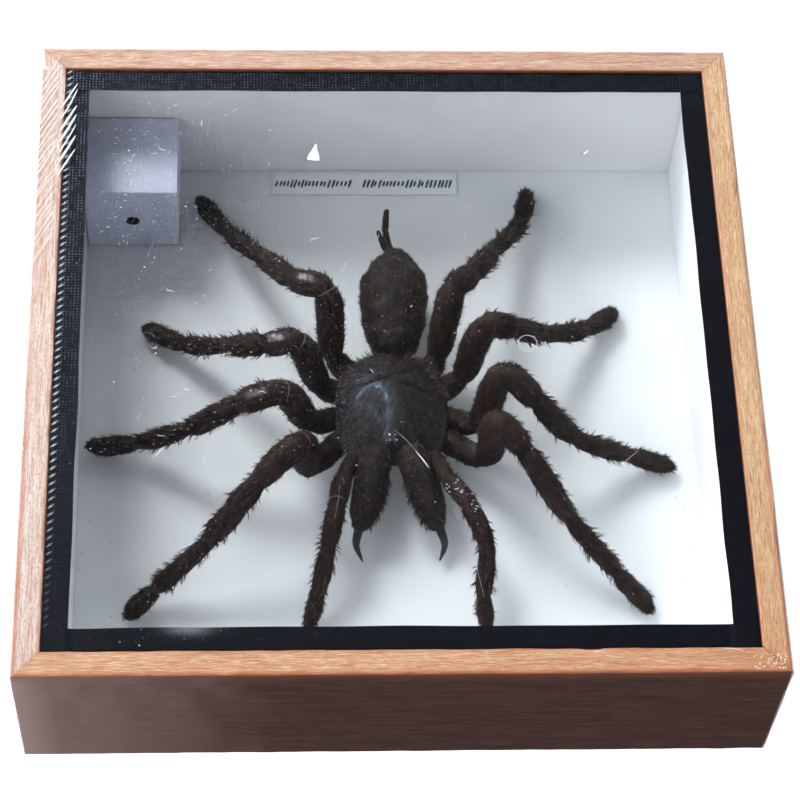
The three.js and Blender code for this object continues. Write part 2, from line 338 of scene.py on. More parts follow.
def tape():
    """Black adhesive tape with a dull shine, and painted highlights: pale glint dots on its embossing
    and glints on its beads.
    """
    f = Finish("black_tape")
    grain = f.noise(0.45, 3, 0.6)
    tint = f.part(f.run(), "Z")
    tone = f.mix(f.span(grain, 0.3, 0.7), paint(3, 4, 8), paint(11, 13, 20))
    tone = f.mix(f.span(f.noise(1.0, 4, 0.75), 0.64, 0.76, 0, 0.12), tone, paint(80, 92, 118))
    # Pale dots: painted glints.
    tone = f.mix(painted_dot_glints(f), tone, paint(150, 172, 206))
    # Tint: painted glints on the left strip's beads and a painted reflection smear on the front strip.
    tone = f.mix(tint, tone, paint(222, 232, 248))
    return f.solid({"Base Color": tone, "Roughness": f.span(grain, 0.3, 0.7, 0.35, 0.5),
                    "Specular IOR Level": 0.05, "Normal": f.bump(grain, 0.02)})


def painted_dot_glints(f):
    """Painted glints: broken rows of pale dots on the embossing, strongest at the back left and gone
    towards the front.
    """
    x, y = f.part(f.place, "X"), f.part(f.place, "Y")
    wave = 2 * math.pi / 0.0019
    rows = f.math("SINE", f.times(x, wave))
    files = f.math("SINE", f.times(y, wave))
    dots = f.span(f.unsigned(f.times(rows, files)), 0.6, 0.95)
    broken = f.span(f.noise(2.6, 3, 0.7), 0.42, 0.6)
    left = f.times(f.span(x, -0.078, -0.082), f.span(y, -0.05, 0.06, 0.05, 0.42))
    back = f.times(f.span(y, 0.078, 0.082), f.span(x, -0.04, 0.06, 0.2, 0.08))
    return f.times(f.times(dots, broken), f.larger(left, back))


def foam():
    """The repellent block: pale lilac, chalky, faintly pitted, with painted shade in its pits."""
    f = Finish("foam_block")
    pits = f.cells(0.9)
    clouds = f.noise(9, 3, 0.6)
    tone = f.mix(f.span(clouds, 0.3, 0.7), paint(196, 199, 224), paint(213, 220, 240))
    # Darker in the pits: painted shade.
    tone = f.mix(f.span(pits, 0.0, 0.35, 0.25, 0.0), tone, paint(144, 142, 166))
    return f.solid({"Base Color": tone, "Roughness": 0.75, "Subsurface Weight": 0.1,
                    "Subsurface Scale": 0.001, "Normal": f.bump(pits, 0.06)})


def cuticle(name, dark, brown, red, bare_and_highlight):
    """Spider skin under its hair: dark brown in long streaks, with paler tinted places: bare sockets,
    bare knees with a painted highlight, and painted sheen on the carapace.
    """
    f = Finish(name)
    run = f.run()
    streaks = f.noise((7000, 900, 1e6), 3, 0.6, 0.4, run)
    blotch = f.noise(5, 3, 0.6)
    grit = f.noise(0.4, 3, 0.7)
    tone = f.mix(f.span(streaks, 0.35, 0.68), dark, brown)
    tone = f.mix(f.span(blotch, 0.45, 0.7, 0, 0.7), tone, red)
    tone = f.mix(f.span(grit, 0.35, 0.7, 0.45, 0.0), tone, paint(12, 9, 9))
    tint = f.part(run, "Z")
    tone = f.mix(tint, tone, bare_and_highlight)
    return f.solid({"Base Color": tone, "Roughness": f.span(tint, 0, 1, 0.6, 0.3),
                    "Specular IOR Level": 0.14, "Normal": f.bump(grit, 0.15)})


def hair(name, root, middle, tip, painted_sheen=0.0):
    """Hair: each one has its own shade, and gets lighter to its tip. The last argument sets a painted
    grey sheen over its left side.
    """
    f = Finish(name)
    run = f.run()
    shade = f.part(run, "X")
    tone = f.mix(f.span(shade, 0.0, 1.0), root, middle)
    tone = f.mix(f.times(f.part(run, "Y"), f.span(shade, 0.6, 0.95)), tone, tip)
    tone = f.mix(f.span(f.noise(3, 2), 0.4, 0.7, 0, 0.5), tone, root)
    # Grey over the left side: painted sheen.
    tone = f.mix(f.span(f.part(f.place, "X"), -0.011, 0.001, painted_sheen, 0.0), tone, paint(134, 133, 147))
    return f.solid({"Base Color": tone, "Roughness": 0.4, "Specular IOR Level": 0.15})


def dust():
    """White specks, some a little greyer."""
    f = Finish("dust")
    tone = f.mix(f.noise(0.6, 2), paint(236, 238, 242), paint(255, 255, 255))
    return f.solid({"Base Color": tone, "Roughness": 0.5})


# ---- Mesh building --------------------------------------------------------------------------


def unit(vectors):
    """Vectors at length 1."""
    return vectors / np.maximum(np.linalg.norm(vectors, axis=-1, keepdims=True), 1e-9)


def bell(*pairs):
    """Falls from 1 with distance. Each pair is a distance and the width that it is measured by."""
    return np.exp(-sum((far / width) ** 2 for far, width in pairs))


def ripple(points, size, seed, waves=14):
    """Smooth noise from about -1 to 1 at points (..., 3), made of sine waves about size mm long."""
    rng = np.random.default_rng(seed)
    ways = unit(rng.normal(size=(waves, 3)))
    rates = 2 * np.pi / size * rng.uniform(0.6, 1.6, waves)
    shifts = rng.uniform(0, 2 * np.pi, waves)
    return np.sin((points @ ways.T) * rates + shifts).sum(-1) / math.sqrt(waves)


def skin_faces(rings, sides):
    """Quads between neighbouring rings, and one face over each end."""
    ring = np.arange(rings - 1)[:, None] * sides
    side = np.arange(sides)
    after = np.roll(side, -1)
    quads = np.stack([ring + side, ring + after, ring + sides + after, ring + sides + side], -1)
    return [quads.reshape(-1, 4), side[None, ::-1], side[None] + (rings - 1) * sides]


class Shape:
    """The points and faces of one piece, gathered part by part."""

    def __init__(self):
        self.points, self.runs, self.faces, self.finishes, self.count = [], [], [], [], 0

    def add(self, points, face_groups, finish=0, run=None):
        points = np.asarray(points, float).reshape(-1, 3)
        for group in face_groups:
            self.faces += (np.asarray(group) + self.count).tolist()
            self.finishes += [finish] * len(group)
        self.points.append(points)
        self.runs.append(np.zeros_like(points) if run is None else run.reshape(-1, 3))
        self.count += len(points)

    def skin(self, rings, finish=0, tint=0.0):
        """A closed skin over rings of points, shaped (rings, sides, 3)."""
        centres = rings.mean(1)
        along = np.concatenate([[0], np.cumsum(np.linalg.norm(np.diff(centres, axis=0), axis=1))])
        size = np.linalg.norm(rings - centres[:, None], axis=2).mean(1)
        turn = np.linspace(-np.pi, np.pi, rings.shape[1])
        run = np.stack(np.broadcast_arrays(along[:, None], size[:, None] * turn, tint), -1)
        self.add(rings, skin_faces(*rings.shape[:2]), finish, run)

    def hairs(self, strands, finish=1):
        self.add(strands["points"], strands["faces"], finish, strands["run"])


def add_object(name, data):
    thing = bpy.data.objects.new(name, data)
    bpy.context.scene.collection.objects.link(thing)
    return thing


def make_piece(shape, name, materials, replaces=(), sharp=None):
    """Turns a Shape into a Blender object that rides on the case."""
    mesh = bpy.data.meshes.new(name)
    points = np.concatenate(shape.points)
    mesh.from_pydata((points / 1000).tolist(), [], shape.faces)
    for material in materials:
        mesh.materials.append(material)
    mesh.polygons.foreach_set("material_index", shape.finishes)
    mesh.polygons.foreach_set("use_smooth", [True] * len(shape.faces))
    run = mesh.attributes.new("run", "FLOAT_VECTOR", "POINT")
    run.data.foreach_set("vector", np.concatenate(shape.runs).astype(np.float32).ravel())
    if sharp is not None:
        mesh.set_sharp_from_angle(angle=math.radians(sharp))
    piece = add_object(name, mesh)
    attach(piece, "root")
    if replaces:
        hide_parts(*replaces)
    return piece


def curve_through(joints, steps):
    """Centripetal Catmull-Rom curve: one list of steps + 1 points for each span between joints."""
    joints = np.asarray(joints, float)
    ends = 2 * joints[0] - joints[1], 2 * joints[-1] - joints[-2]
    p = np.vstack([ends[0], joints, ends[1]])
    knots = np.append(0, np.cumsum(np.sqrt(np.linalg.norm(np.diff(p, axis=0), axis=1))))

    def between(a, b, start, end, t):
        return ((end - t) * a + (t - start) * b) / (end - start)

    spans = []
    for k in range(1, len(p) - 2):
        t = np.linspace(knots[k], knots[k + 1], steps + 1)[:, None]
        a = [between(p[k + i - 1], p[k + i], knots[k + i - 1], knots[k + i], t) for i in range(3)]
        b = [between(a[i], a[i + 1], knots[k + i - 1], knots[k + i + 1], t) for i in range(2)]
        spans.append(between(b[0], b[1], knots[k], knots[k + 1], t))
    return spans


def tube(path, half_widths, half_heights, sides):
    """Rings of points round a path, square to it: (rings, sides, 3). A quarter turn in is its top."""
    path = np.asarray(path, float)
    ahead = unit(np.gradient(path, axis=0))
    across = unit(np.cross(UP, ahead))
    above = np.cross(ahead, across)
    turn = np.linspace(0, 2 * np.pi, sides, endpoint=False)[None, :, None]
    wide = np.reshape(half_widths, (-1, 1, 1)) * np.cos(turn)
    tall = np.reshape(half_heights, (-1, 1, 1)) * np.sin(turn)
    return path[:, None] + across[:, None] * wide + above[:, None] * tall


def pod(path, half_widths, sides=20, flat=1.0, round_end=0.7):
    """A tube with rounded ends. Half widths are at STATIONS, or evenly spread if not five."""
    path = np.asarray(path, float)
    count = len(half_widths)
    places = STATIONS if count == len(STATIONS) else np.linspace(0, 1, count)
    widths = np.polyval(np.polyfit(places, half_widths, count - 1), np.linspace(0, 1, len(path)))
    tilt = np.radians([80, 60, 40, 20])
    start = path[0] - unit(path[1] - path[0]) * (widths[0] * round_end * np.sin(tilt))[:, None]
    end = path[-1] + unit(path[-1] - path[-2]) * (widths[-1] * round_end * np.sin(tilt[::-1]))[:, None]
    widths = np.concatenate([widths[0] * np.cos(tilt), widths, widths[-1] * np.cos(tilt[::-1])])
    return tube(np.vstack([start, path, end]), widths, widths * flat, sides)


def rumple(rings, size, depth, seed):
    """Moves a skin's points in and out by smooth noise."""
    out = unit(rings - rings.mean(1, keepdims=True))
    return rings + out * (ripple(rings, size, seed) * depth)[..., None]


def strands(roots, ways, lengths, thick, shade):
    """Tapered three-sided hairs, made of one straight stretch along each of the ways in turn."""
    parts = len(ways)
    side = unit(np.cross(ways[0], UP + 0.01))
    other = np.cross(ways[0], side)
    turn = np.radians([0, 120, 240])[None, :, None]
    section = (side[:, None] * np.cos(turn) + other[:, None] * np.sin(turn)) * thick
    at, rings = roots, []
    for k, way in enumerate(ways):
        rings.append(at[:, None] + section * (1 - 0.5 * k / parts))
        at = at + way * lengths / parts
    points = np.concatenate([*rings, at[:, None]], axis=1)
    points[..., 2] = np.maximum(points[..., 2], FLOOR_Z + 0.05)
    tip = 3 * parts
    start = np.arange(len(roots))[:, None, None] * (tip + 1)
    point = [[tip - 3, tip - 2, tip], [tip - 2, tip - 1, tip], [tip - 1, tip - 3, tip]]
    corners = np.array([*point, [0, 2, 1]])
    faces = [(start + corners).reshape(-1, 3)]
    for low in range(0, tip - 3, 3):
        quads = np.array([[0, 1, 4, 3], [1, 2, 5, 4], [2, 0, 3, 5]]) + low
        faces.append((start + quads).reshape(-1, 4))
    height = np.append(np.repeat(np.arange(parts) / parts, 3), 1.0)
    run = np.stack(np.broadcast_arrays(shade, height, 0.0), -1)
    return {"points": points, "faces": faces, "run": run}


# Hairs longer than this, in mm, have a bend.
BEND_FROM = 1.5
# Share of hairs on the underside, which is where the way out of the skin is lower than this.
BELLY = {"below": -0.35, "share": 0.15}
# How far hairs of one tuft stand from its first one, in mm.
TUFT_SPREAD = 0.16


def scatter(rings, per_mm2, rng):
    """Places spread evenly over a skin, with the ways along it and out of it at each one."""
    here, ahead = rings[:-1], rings[1:]
    here_next, ahead_next = np.roll(here, -1, axis=1), np.roll(ahead, -1, axis=1)
    flow = (ahead + ahead_next - here - here_next) / 2
    side = (here_next + ahead_next - here - ahead) / 2
    out = np.cross(side, flow)
    area = np.linalg.norm(out, axis=2)
    count = int(area.sum() * per_mm2)
    cell = rng.choice(area.size, count, p=area.ravel() / area.sum())
    u, v = rng.random((2, count, 1))

    def pick(grid):
        return grid.reshape(-1, 3)[cell]

    places = (pick(here) * (1 - u) * (1 - v) + pick(ahead) * u * (1 - v)
              + pick(here_next) * (1 - u) * v + pick(ahead_next) * u * v)
    return places, unit(pick(flow)), unit(pick(out))


def comb(rings, per_mm2, length, lift, thick, seed, keep=None, stray=0.22, droop=0.6, tuft=1):
    """Hairs scattered over a skin, combed from its first ring to its last, tuft of them together.

    lift is how far they stand off the skin at the root, in degrees, and droop the share of it that
    is left at the tip. keep gives the share of hairs that stay, by place and way out."""
    rng = np.random.default_rng(seed)
    roots, along, up = scatter(rings, per_mm2, rng)
    share = np.where(up[:, 2] < BELLY["below"], BELLY["share"], 1.0)
    if keep is not None:
        share = share * keep(roots, up)
    chosen = rng.random(len(roots)) < share
    roots, along, up = roots[chosen], along[chosen], up[chosen]
    count = len(roots)
    leader = np.arange(count) // tuft * tuft
    follows = (leader != np.arange(count))[:, None]
    roots = roots[leader] + follows * rng.normal(0, TUFT_SPREAD, (count, 3))
    along, up = along[leader], up[leader]
    angle = (np.radians(lift) * rng.uniform(0.6, 1.4, (count, 1)))[leader]
    lean = rng.normal(0, stray, (count, 3))[leader]
    first = along * np.cos(angle) + up * np.sin(angle) + lean
    first = unit(first + rng.normal(0, stray / 3, (count, 3)))
    bent = angle * droop
    second = along * np.cos(bent) + up * np.sin(bent) + lean
    second = unit(second + rng.normal(0, stray / 2, (count, 3)))
    lengths = length * rng.uniform(0.55, 1.25, (count, 1))
    shade = np.clip(0.6 * rng.random(count) + 0.2 + 0.2 * ripple(roots, 3, seed), 0, 1)[:, None]
    ways = [first, second] if length > BEND_FROM else [unit(first + second)]
    return strands(roots - up * thick, ways, lengths, thick, shade)


# ---- The case -------------------------------------------------------------------------------

# Where an edge of a rail is chipped: side, place along it, edge, width and depth. Edges are
# 0 outer bottom, 1 outer top, 2 inner top, 3 inner bottom.
CHIPS = (
    ("front", 51.5, 2, 1.6, 1.3),
    ("front", 54.0, 2, 0.8, 0.8),
    ("front", -41.0, 1, 1.2, 0.5),
    ("right", 51.0, 1, 1.8, 0.9),
    ("right", 54.5, 1, 0.9, 0.7),
    ("right", -60.0, 1, 1.4, 0.5),
    ("back", 0.5, 1, 1.0, 0.6),
    ("back", 44.0, 2, 1.0, 0.5),
    ("left", 31.0, 2, 1.1, 1.0),
    ("left", -20.0, 1, 1.5, 0.5),
)
# How far each side of the case is turned from the front one.
TURNS = {"front": 0, "right": 90, "back": 180, "left": -90}
# Rounding of a rail's edges: its radius, how much that varies and over what length, and the least.
WEAR = {"radius": 0.45, "uneven": 0.22, "length": 9, "least": 0.2}
# Waves in the rails' outer and top faces.
RAIL_WAVES = {"height": 0.06, "length": 16}
# Paints of a rail's wood, pale, warm and flecked, and how strong its flecks are.
WOODS = {
    "front": (paint(186, 152, 113), paint(171, 127, 83), paint(141, 84, 44), 0.5),
    "right": (paint(192, 171, 129), paint(174, 144, 100), paint(149, 104, 57), 0.9),
    "back": (paint(176, 156, 139), paint(159, 126, 105), paint(130, 85, 64), 0.4),
    # The left rail's pale grey paints are partly painted reflection: the film's sheen over that rail.
    "left": (paint(197, 197, 196), paint(186, 173, 163), paint(152, 113, 92), 0.45),
}


def turned(points, degrees):
    """Points turned about the upright line through the middle of the case."""
    a = math.radians(degrees)
    matrix = np.array([[math.cos(a), -math.sin(a), 0], [math.sin(a), math.cos(a), 0], [0, 0, 1]])
    return points @ matrix.T


def rail_outline():
    """Points round a rail's square section: distance in from the outside, and height."""
    near = [0.15, 0.35, 0.7, 1.4]
    corners = [(0, 0), (0, CASE_TOP), (RAIL, CASE_TOP), (RAIL, 0)]
    inside = [5, 3, 4, 1]
    points = []
    for k, start in enumerate(corners):
        end = corners[(k + 1) % 4]
        length = math.dist(start, end)
        steps = [0, *near, *np.linspace(near[-1], length - near[-1], inside[k] + 2)[1:-1],
                 *(length - d for d in reversed(near))]
        points += [(start[0] + (end[0] - start[0]) * s / length,
                    start[1] + (end[1] - start[1]) * s / length) for s in steps]
    return np.array(points), np.array(corners, float)


def wear_edges(section, along, side, seed):
    """Rounds the four long edges of a rail's sections, deeper where it is chipped."""
    outline, corners = rail_outline()
    middle = np.array([RAIL / 2, CASE_TOP / 2])
    for k, corner in enumerate(corners):
        x = along * CASE_HALF
        place_on_edge = np.stack([x, x * 0 + k, x * 0], -1)
        wear = WEAR["radius"] + WEAR["uneven"] * ripple(place_on_edge, WEAR["length"], seed + k)
        for chipped, place, edge, width, depth in CHIPS:
            if chipped == side and edge == k:
                wear = wear + depth * bell((x - place, width))
        radius = np.maximum(wear, WEAR["least"])[:, None]
        inward = np.sign(middle - corner)
        from_corner = (outline - corner) * inward
        near = (from_corner[:, 0] < radius) & (from_corner[:, 1] < radius)
        offset = from_corner[None] - radius[..., None]
        far = np.maximum(np.linalg.norm(offset, axis=2, keepdims=True), 1e-6)
        rounded = radius[..., None] + offset * (radius[..., None] / far)
        section = np.where(near[..., None], corner + rounded * inward, section)
    return section, middle


def make_rail(side, seed):
    """A mitred rail with worn and chipped edges, made as the front one and turned into place."""
    outline, _ = rail_outline()
    along = np.concatenate([[-1, -0.9985], np.linspace(-0.994, 0.994, 132), [0.9985, 1]])
    section = np.broadcast_to(outline, (len(along), *outline.shape)).copy()
    section, middle = wear_edges(section, along, side, seed)
    ends = np.array([0.998, 0.9996])
    section[[0, 1]] = middle + (section[[0, 1]] - middle) * ends[:, None, None]
    section[[-1, -2]] = middle + (section[[-1, -2]] - middle) * ends[:, None, None]
    inset, height = section[..., 0], section[..., 1]
    rings = np.stack([along[:, None] * (CASE_HALF - inset), inset - CASE_HALF, height], -1)
    flaws = ripple(rings, RAIL_WAVES["length"], seed + 9) * RAIL_WAVES["height"]
    rings[..., 1] += flaws * (inset < 0.1)
    rings[..., 2] -= np.abs(flaws) * (height > CASE_TOP - 0.01)
    shape = Shape()
    shape.skin(turned(rings, TURNS[side]))
    finish = wood("rail_" + side + "_wood", side in ("left", "right"), *WOODS[side])
    make_piece(shape, "worn_rail_" + side, [finish], ["rail_" + side], sharp=50)


def soften(node, width):
    """Rounds the edges of a CAD node with modifiers, which leave its own mesh alone."""
    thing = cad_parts[node]
    weld = thing.modifiers.new("weld", "WELD")
    weld.merge_threshold = 1e-6
    bevel = thing.modifiers.new("bevel", "BEVEL")
    bevel.width = width / 1000
    bevel.segments = 3
    bevel.limit_method = "ANGLE"
    bevel.angle_limit = math.radians(40)
    return thing


def dress(node, material, width=0.15):
    """Gives a CAD node that is shown as it is a better material and soft edges."""
    thing = soften(node, width)
    thing.data.materials.clear()
    thing.data.materials.append(material)


def make_inserts():
    """The back board, the base card and the glass, which keep their CAD shapes."""
    dress("back_panel", board())
    dress("base_card", card("base_card_paper", paint(237, 240, 243), paint(218, 222, 230), 0.5))
    dress("glass_pane", glass(), 0.2)


def soft_block(low, high):
    """Rings up a block whose edges are a little soft, from its foot to its top."""
    size = high - low
    soft = np.array([0, 0.1, 0.4])
    steps = np.concatenate([soft, np.linspace(2, size[2] - 2, 10), size[2] - soft[::-1]])
    inset = np.array([0.3, 0.12, *np.zeros(12), 0.12, 0.3])[:, None, None]
    along = np.linspace(-1, 1, 24)
    full = np.ones(24)
    edge = np.concatenate([np.column_stack(pair) for pair in (
        (along, -full), (full, along), (-along, full), (-full, -along))])
    flat = (size[:2] / 2 - inset) * edge
    flat[:, np.abs(edge).min(1) > 0.999] *= 1 - 0.1 / size[:2]
    upright = np.broadcast_to((low[2] + steps)[:, None, None], (len(steps), len(edge), 1))
    return np.concatenate([flat + (low[:2] + high[:2]) / 2, upright], -1)


def make_liners():
    """Foam-board walls, soft along their edges, that stand on the base card."""
    wall = card("foam_board_paper", paint(240, 240, 244), paint(224, 224, 230), 0.6)
    for side in ("front", "back", "right", "left"):
        low, high = box_mm("liner_" + side)
        low[2] = FLOOR_Z + 0.02
        shape = Shape()
        shape.skin(soft_block(low, high))
        make_piece(shape, "soft_liner_" + side, [wall], ["liner_" + side], 40)


# Hole in the front of the repellent block: middle from the block's low corner, radius and depth.
REPELLENT_HOLE = {"middle": (13.7, 13.0), "radius": 1.7, "depth": 6.0}


def repellent_rings(low, high, turn):
    """Rings from the bottom of the hole, out over the front of the block and round to its back."""
    hole = low[[0, 2]] + REPELLENT_HOLE["middle"]
    radius, deep = REPELLENT_HOLE["radius"], REPELLENT_HOLE["depth"]
    middle, half = (low[[0, 2]] + high[[0, 2]]) / 2, (high[0] - low[0]) / 2
    way = np.column_stack([-np.cos(turn), np.sin(turn)])
    reach = (np.abs(way) ** 40).sum(1, keepdims=True) ** (-1 / 40)

    def square(inset):
        return middle + way * reach * (half - inset)

    bore = ((0.2, deep), (radius - 0.1, deep), (radius, deep - 0.2), (radius, 0.3),
            (radius + 0.15, 0.06), (radius + 0.4, 0))
    steps = [(hole + way * r, y) for r, y in bore]
    edges = ((0.7, 0), (0.3, 0.09), (0.08, 0.3), (0, 0.7))
    steps += [(steps[5][0] * (1 - t) + square(0.7) * t, 0) for t in (0.2, 0.4, 0.6, 0.8)]
    steps += [(square(inset), y) for inset, y in edges]
    depth = high[1] - low[1]
    steps += [(square(0), y) for y in np.linspace(2, depth - 2, 12)]
    steps += [(square(inset), depth - y) for inset, y in reversed(edges)]
    steps += [(square(half * 0.5), depth), (square(half * 0.98), depth)]
    return np.stack([np.column_stack([at[:, 0], np.full(len(at), low[1] + y), at[:, 1]])
                     for at, y in steps])


def make_repellent():
    """The repellent block: soft-edged, with a round hole in its front whose inside is painted black as
    painted shade.
    """
    turn = np.linspace(0, 2 * np.pi, 96, endpoint=False)
    rings = repellent_rings(*box_mm("repellent_box"), turn)
    rings += ripple(rings, 8, 81)[..., None] * 0.04 * unit(rings - rings.mean((0, 1)))
    shape = Shape()
    shape.skin(rings)
    # The inside of the hole takes the black horn finish: painted shade.
    inside = 5 * len(turn)
    shape.finishes[:inside] = [1] * inside
    make_piece(shape, "pitted_repellent", [foam(), MATERIALS["horn"]], ["repellent_box"], 40)


# How far a strip of tape climbs where it laps over its neighbour, and how thick its own rim is.
TAPE_CLIMB = 0.28
TAPE_THICK = 0.3
# Whether a strip laps over its neighbour, at its left and its right end.
TAPE_LAPS = {"front": (1, 1), "back": (0, 0), "right": (0, 1), "left": (1, 0)}


def tape_relief(side, x, y):
    """Height of a strip's own pattern: beads along the left one's outer edge, faint ribs elsewhere."""
    if side == "left":
        beads = np.sin((x + 1.1 * y) * 4.2) + np.sin((x - 1.1 * y) * 4.2)
        bold = (0.3 + 0.7 * bell((y, 2.4))) * np.clip((85 - x) / 70, 0.25, 1)
        return 0.05 * bold * beads
    if side == "back":
        return 0.026 * np.sin(x * 5.0) + 0.012 * np.sin(y * 6 + x)
    return 0.012 * np.sin(x * 4.4)


def tape_painted_glints(side, x, y):
    """How far a strip is painted pale as highlight: glints on a row of beads down the left one, and a
    painted reflection smear in front.
    """
    if side == "left":
        beads = np.clip(3.2 * np.sin(2 * np.pi * (x + 0.7 * y) / 2.3) - 2.1, 0, 1)
        bold = bell((y - 0.9, 0.62)) * np.clip((78 - x) / 40, 0.12, 1)
        return bold * beads
    if side == "front":
        return 0.16 * bell((x + 55, 5), (y - 6.4, 1.6))
    return x * 0


def make_tape(side, seed):
    """A strip of tape over the edge of the glass, lapped over its neighbour at one or both ends."""
    low, high = box_mm("tape_front")
    width = high[1] - low[1]
    half = high[0]
    step, count = (0.36, 24) if side == "left" else (0.7, 14)
    x = np.arange(-half + 0.1, half - 0.1, step)
    across = np.linspace(0, width, count)
    grid_x, grid_y = np.meshgrid(x, across, indexing="ij")
    lap_left, lap_right = TAPE_LAPS[side]

    def over(distance):
        """Rises from 0 to 1 where the strip climbs onto the one below."""
        return np.clip((width + 1.0 - distance) / 1.2, 0, 1)

    lift = TAPE_CLIMB * (lap_left * over(grid_x + half) + lap_right * over(half - grid_x))
    edge = np.minimum(1, np.minimum(grid_y, width - grid_y) / 0.5)
    top = high[2] - 0.08 + lift + tape_relief(side, grid_x, grid_y) * edge
    wave = ripple(np.stack([grid_x, grid_x * 0, grid_x * 0], -1), 30, seed) * 0.14
    y = low[1] + grid_y + wave * (across > width / 2)
    surface = np.stack([grid_x, y, top], -1)
    under = surface[:, ::-1] - np.array([0, 0, TAPE_THICK])
    rings = np.concatenate([surface, under[:, [0, count // 2, -1]]], axis=1)
    tint = np.pad(tape_painted_glints(side, grid_x, grid_y), ((0, 0), (0, 3)))
    shape = Shape()
    shape.skin(turned(rings, TURNS[side])[:, ::-1], 0, tint[:, ::-1])
    make_piece(shape, "laid_tape_" + side, [MATERIALS["tape"]], ["tape_" + side], sharp=60)


VENT = {"radius": 2.6, "place": (36.6, -1.1)}
FILM_THICK = 0.09
FILM_REACH = CASE_HALF + 0.35
# How far the film lies under the top of its CAD box, and how it sags inside the rails.
FILM_UNDER = 0.28
SAG = {"depth": 0.3, "over": 6}
# Waves in the film: length, height and seed.
FILM_WAVES = ((46, 0.06, 5), (9, 0.018, 6))
# Puckers that fan out from the corners: height, and how fast they fade.
PUCKERS = {"height": 0.10, "reach": 9}


def film_height(x, y):
    """Height of the outside of the film over the case: taut on the wood, slack over the glass."""
    place = np.stack([x, y, np.zeros_like(x)], -1)
    inner = CASE_HALF - RAIL
    inside = np.clip((inner - np.maximum(np.abs(x), np.abs(y))) / SAG["over"], 0, 1)
    z = FILM_TOP - FILM_UNDER - SAG["depth"] * inside * inside * (3 - 2 * inside)
    for length, height, seed in FILM_WAVES:
        z = z + height * ripple(place, length, seed)
    for corner_x in (-1, 1):
        for corner_y in (-1, 1):
            dx, dy = x - corner_x * FILM_REACH, y - corner_y * FILM_REACH
            far = np.hypot(dx, dy)
            fade = PUCKERS["height"] * np.exp(-far / PUCKERS["reach"])
            z = z + fade * np.sin(9 * np.arctan2(dy, dx) * 3)
    return z + back_left_folds(x, y)


def back_left_folds(x, y):
    """Parallel slanting folds where the film was pulled tight over the back of the left rail."""
    near = bell((x + 97, 7), (y - 70, 22))
    return 0.13 * near * np.sin((y - 2.05 * x) * 2 * np.pi / 4.6)


def film_lines():
    """Grid lines over the top of the film, closer together beside the air hole."""
    def lines(centre):
        edge = FILM_REACH - 0.5
        border = edge - np.array([0, 0.15, 0.4])
        coarse = np.concatenate([-border, np.linspace(0.9 - edge, edge - 0.9, 96), border])
        coarse = coarse[np.abs(coarse - centre) > VENT["radius"] + 0.8]
        fine = centre + np.linspace(-1, 1, 17) * (VENT["radius"] + 0.3)
        return np.sort(np.concatenate([coarse, fine]))

    return lines(VENT["place"][0]), lines(VENT["place"][1])


def make_film():
    """Thin clear shell over the top and sides, with wrinkles, and a round air hole whose rim points are
    pulled onto its circle.
    """
    xs, ys = film_lines()
    grid_x, grid_y = np.meshgrid(xs, ys, indexing="ij")
    cx, cy = VENT["place"]
    far = np.hypot(grid_x - cx, grid_y - cy)
    rim = (far > VENT["radius"] * 0.8) & (far < VENT["radius"] * 1.12)
    pull = np.where(rim, VENT["radius"] / np.maximum(far, 0.1), 1)
    grid_x, grid_y = cx + (grid_x - cx) * pull, cy + (grid_y - cy) * pull
    rows, columns = grid_x.shape
    top = np.stack([grid_x, grid_y, film_height(grid_x, grid_y)], -1)
    ids = np.arange(rows * columns).reshape(rows, columns)
    quads = np.stack([ids[:-1, :-1], ids[1:, :-1], ids[1:, 1:], ids[:-1, 1:]], -1).reshape(-1, 4)
    far = np.hypot(grid_x - cx, grid_y - cy).ravel()
    quads = quads[far[quads].min(1) > VENT["radius"] * 0.99]
    edge = np.concatenate([ids[:, 0], ids[-1, 1:], ids[-2::-1, -1], ids[0, -2:0:-1]])
    shape = Shape()
    shape.add(top, [quads])
    border = top.reshape(-1, 3)[edge]
    wall = film_wall(border)
    shape.add(wall, [wall_faces(edge - shape.count, *wall.shape[:2])])
    piece = make_piece(shape, "wrinkled_film", [MATERIALS["film"]], ["shrink_film"])
    thicken = piece.modifiers.new("thickness", "SOLIDIFY")
    thicken.thickness = FILM_THICK / 1000
    thicken.offset = -1


def film_wall(border):
    """Rings down the four sides from the border of the top, each a little wavy."""
    flat = border[:, :2] / np.max(np.abs(border[:, :2]), axis=1, keepdims=True)
    foot = CASE_TOP - 0.6
    drops = np.concatenate([[0.08, 0.26, 0.55], np.geomspace(1.3, foot, 17), [foot + 0.25]])
    spread = FILM_REACH - np.array([0.28, 0.12, 0.04] + [0] * 18)
    rings = []
    for drop, reach in zip(drops, spread):
        z = border[:, 2] - drop
        z = np.maximum(z, 0.35)
        place = np.column_stack([flat * reach, z])
        dent = 0.12 * (0.6 + 0.4 * ripple(place, 13, 21)) * min(1, drop / 3)
        place[:, :2] *= (1 - dent / FILM_REACH)[:, None]
        rings.append(place)
    return np.stack(rings)


def wall_faces(edge, rings, sides):
    """Quads from the border of the top down the rings of the wall."""
    rows = np.vstack([edge, np.arange(rings * sides).reshape(rings, sides)])
    after = np.roll(rows, -1, axis=1)
    return np.stack([rows[1:], after[1:], after[:-1], rows[:-1]], -1).reshape(-1, 4)


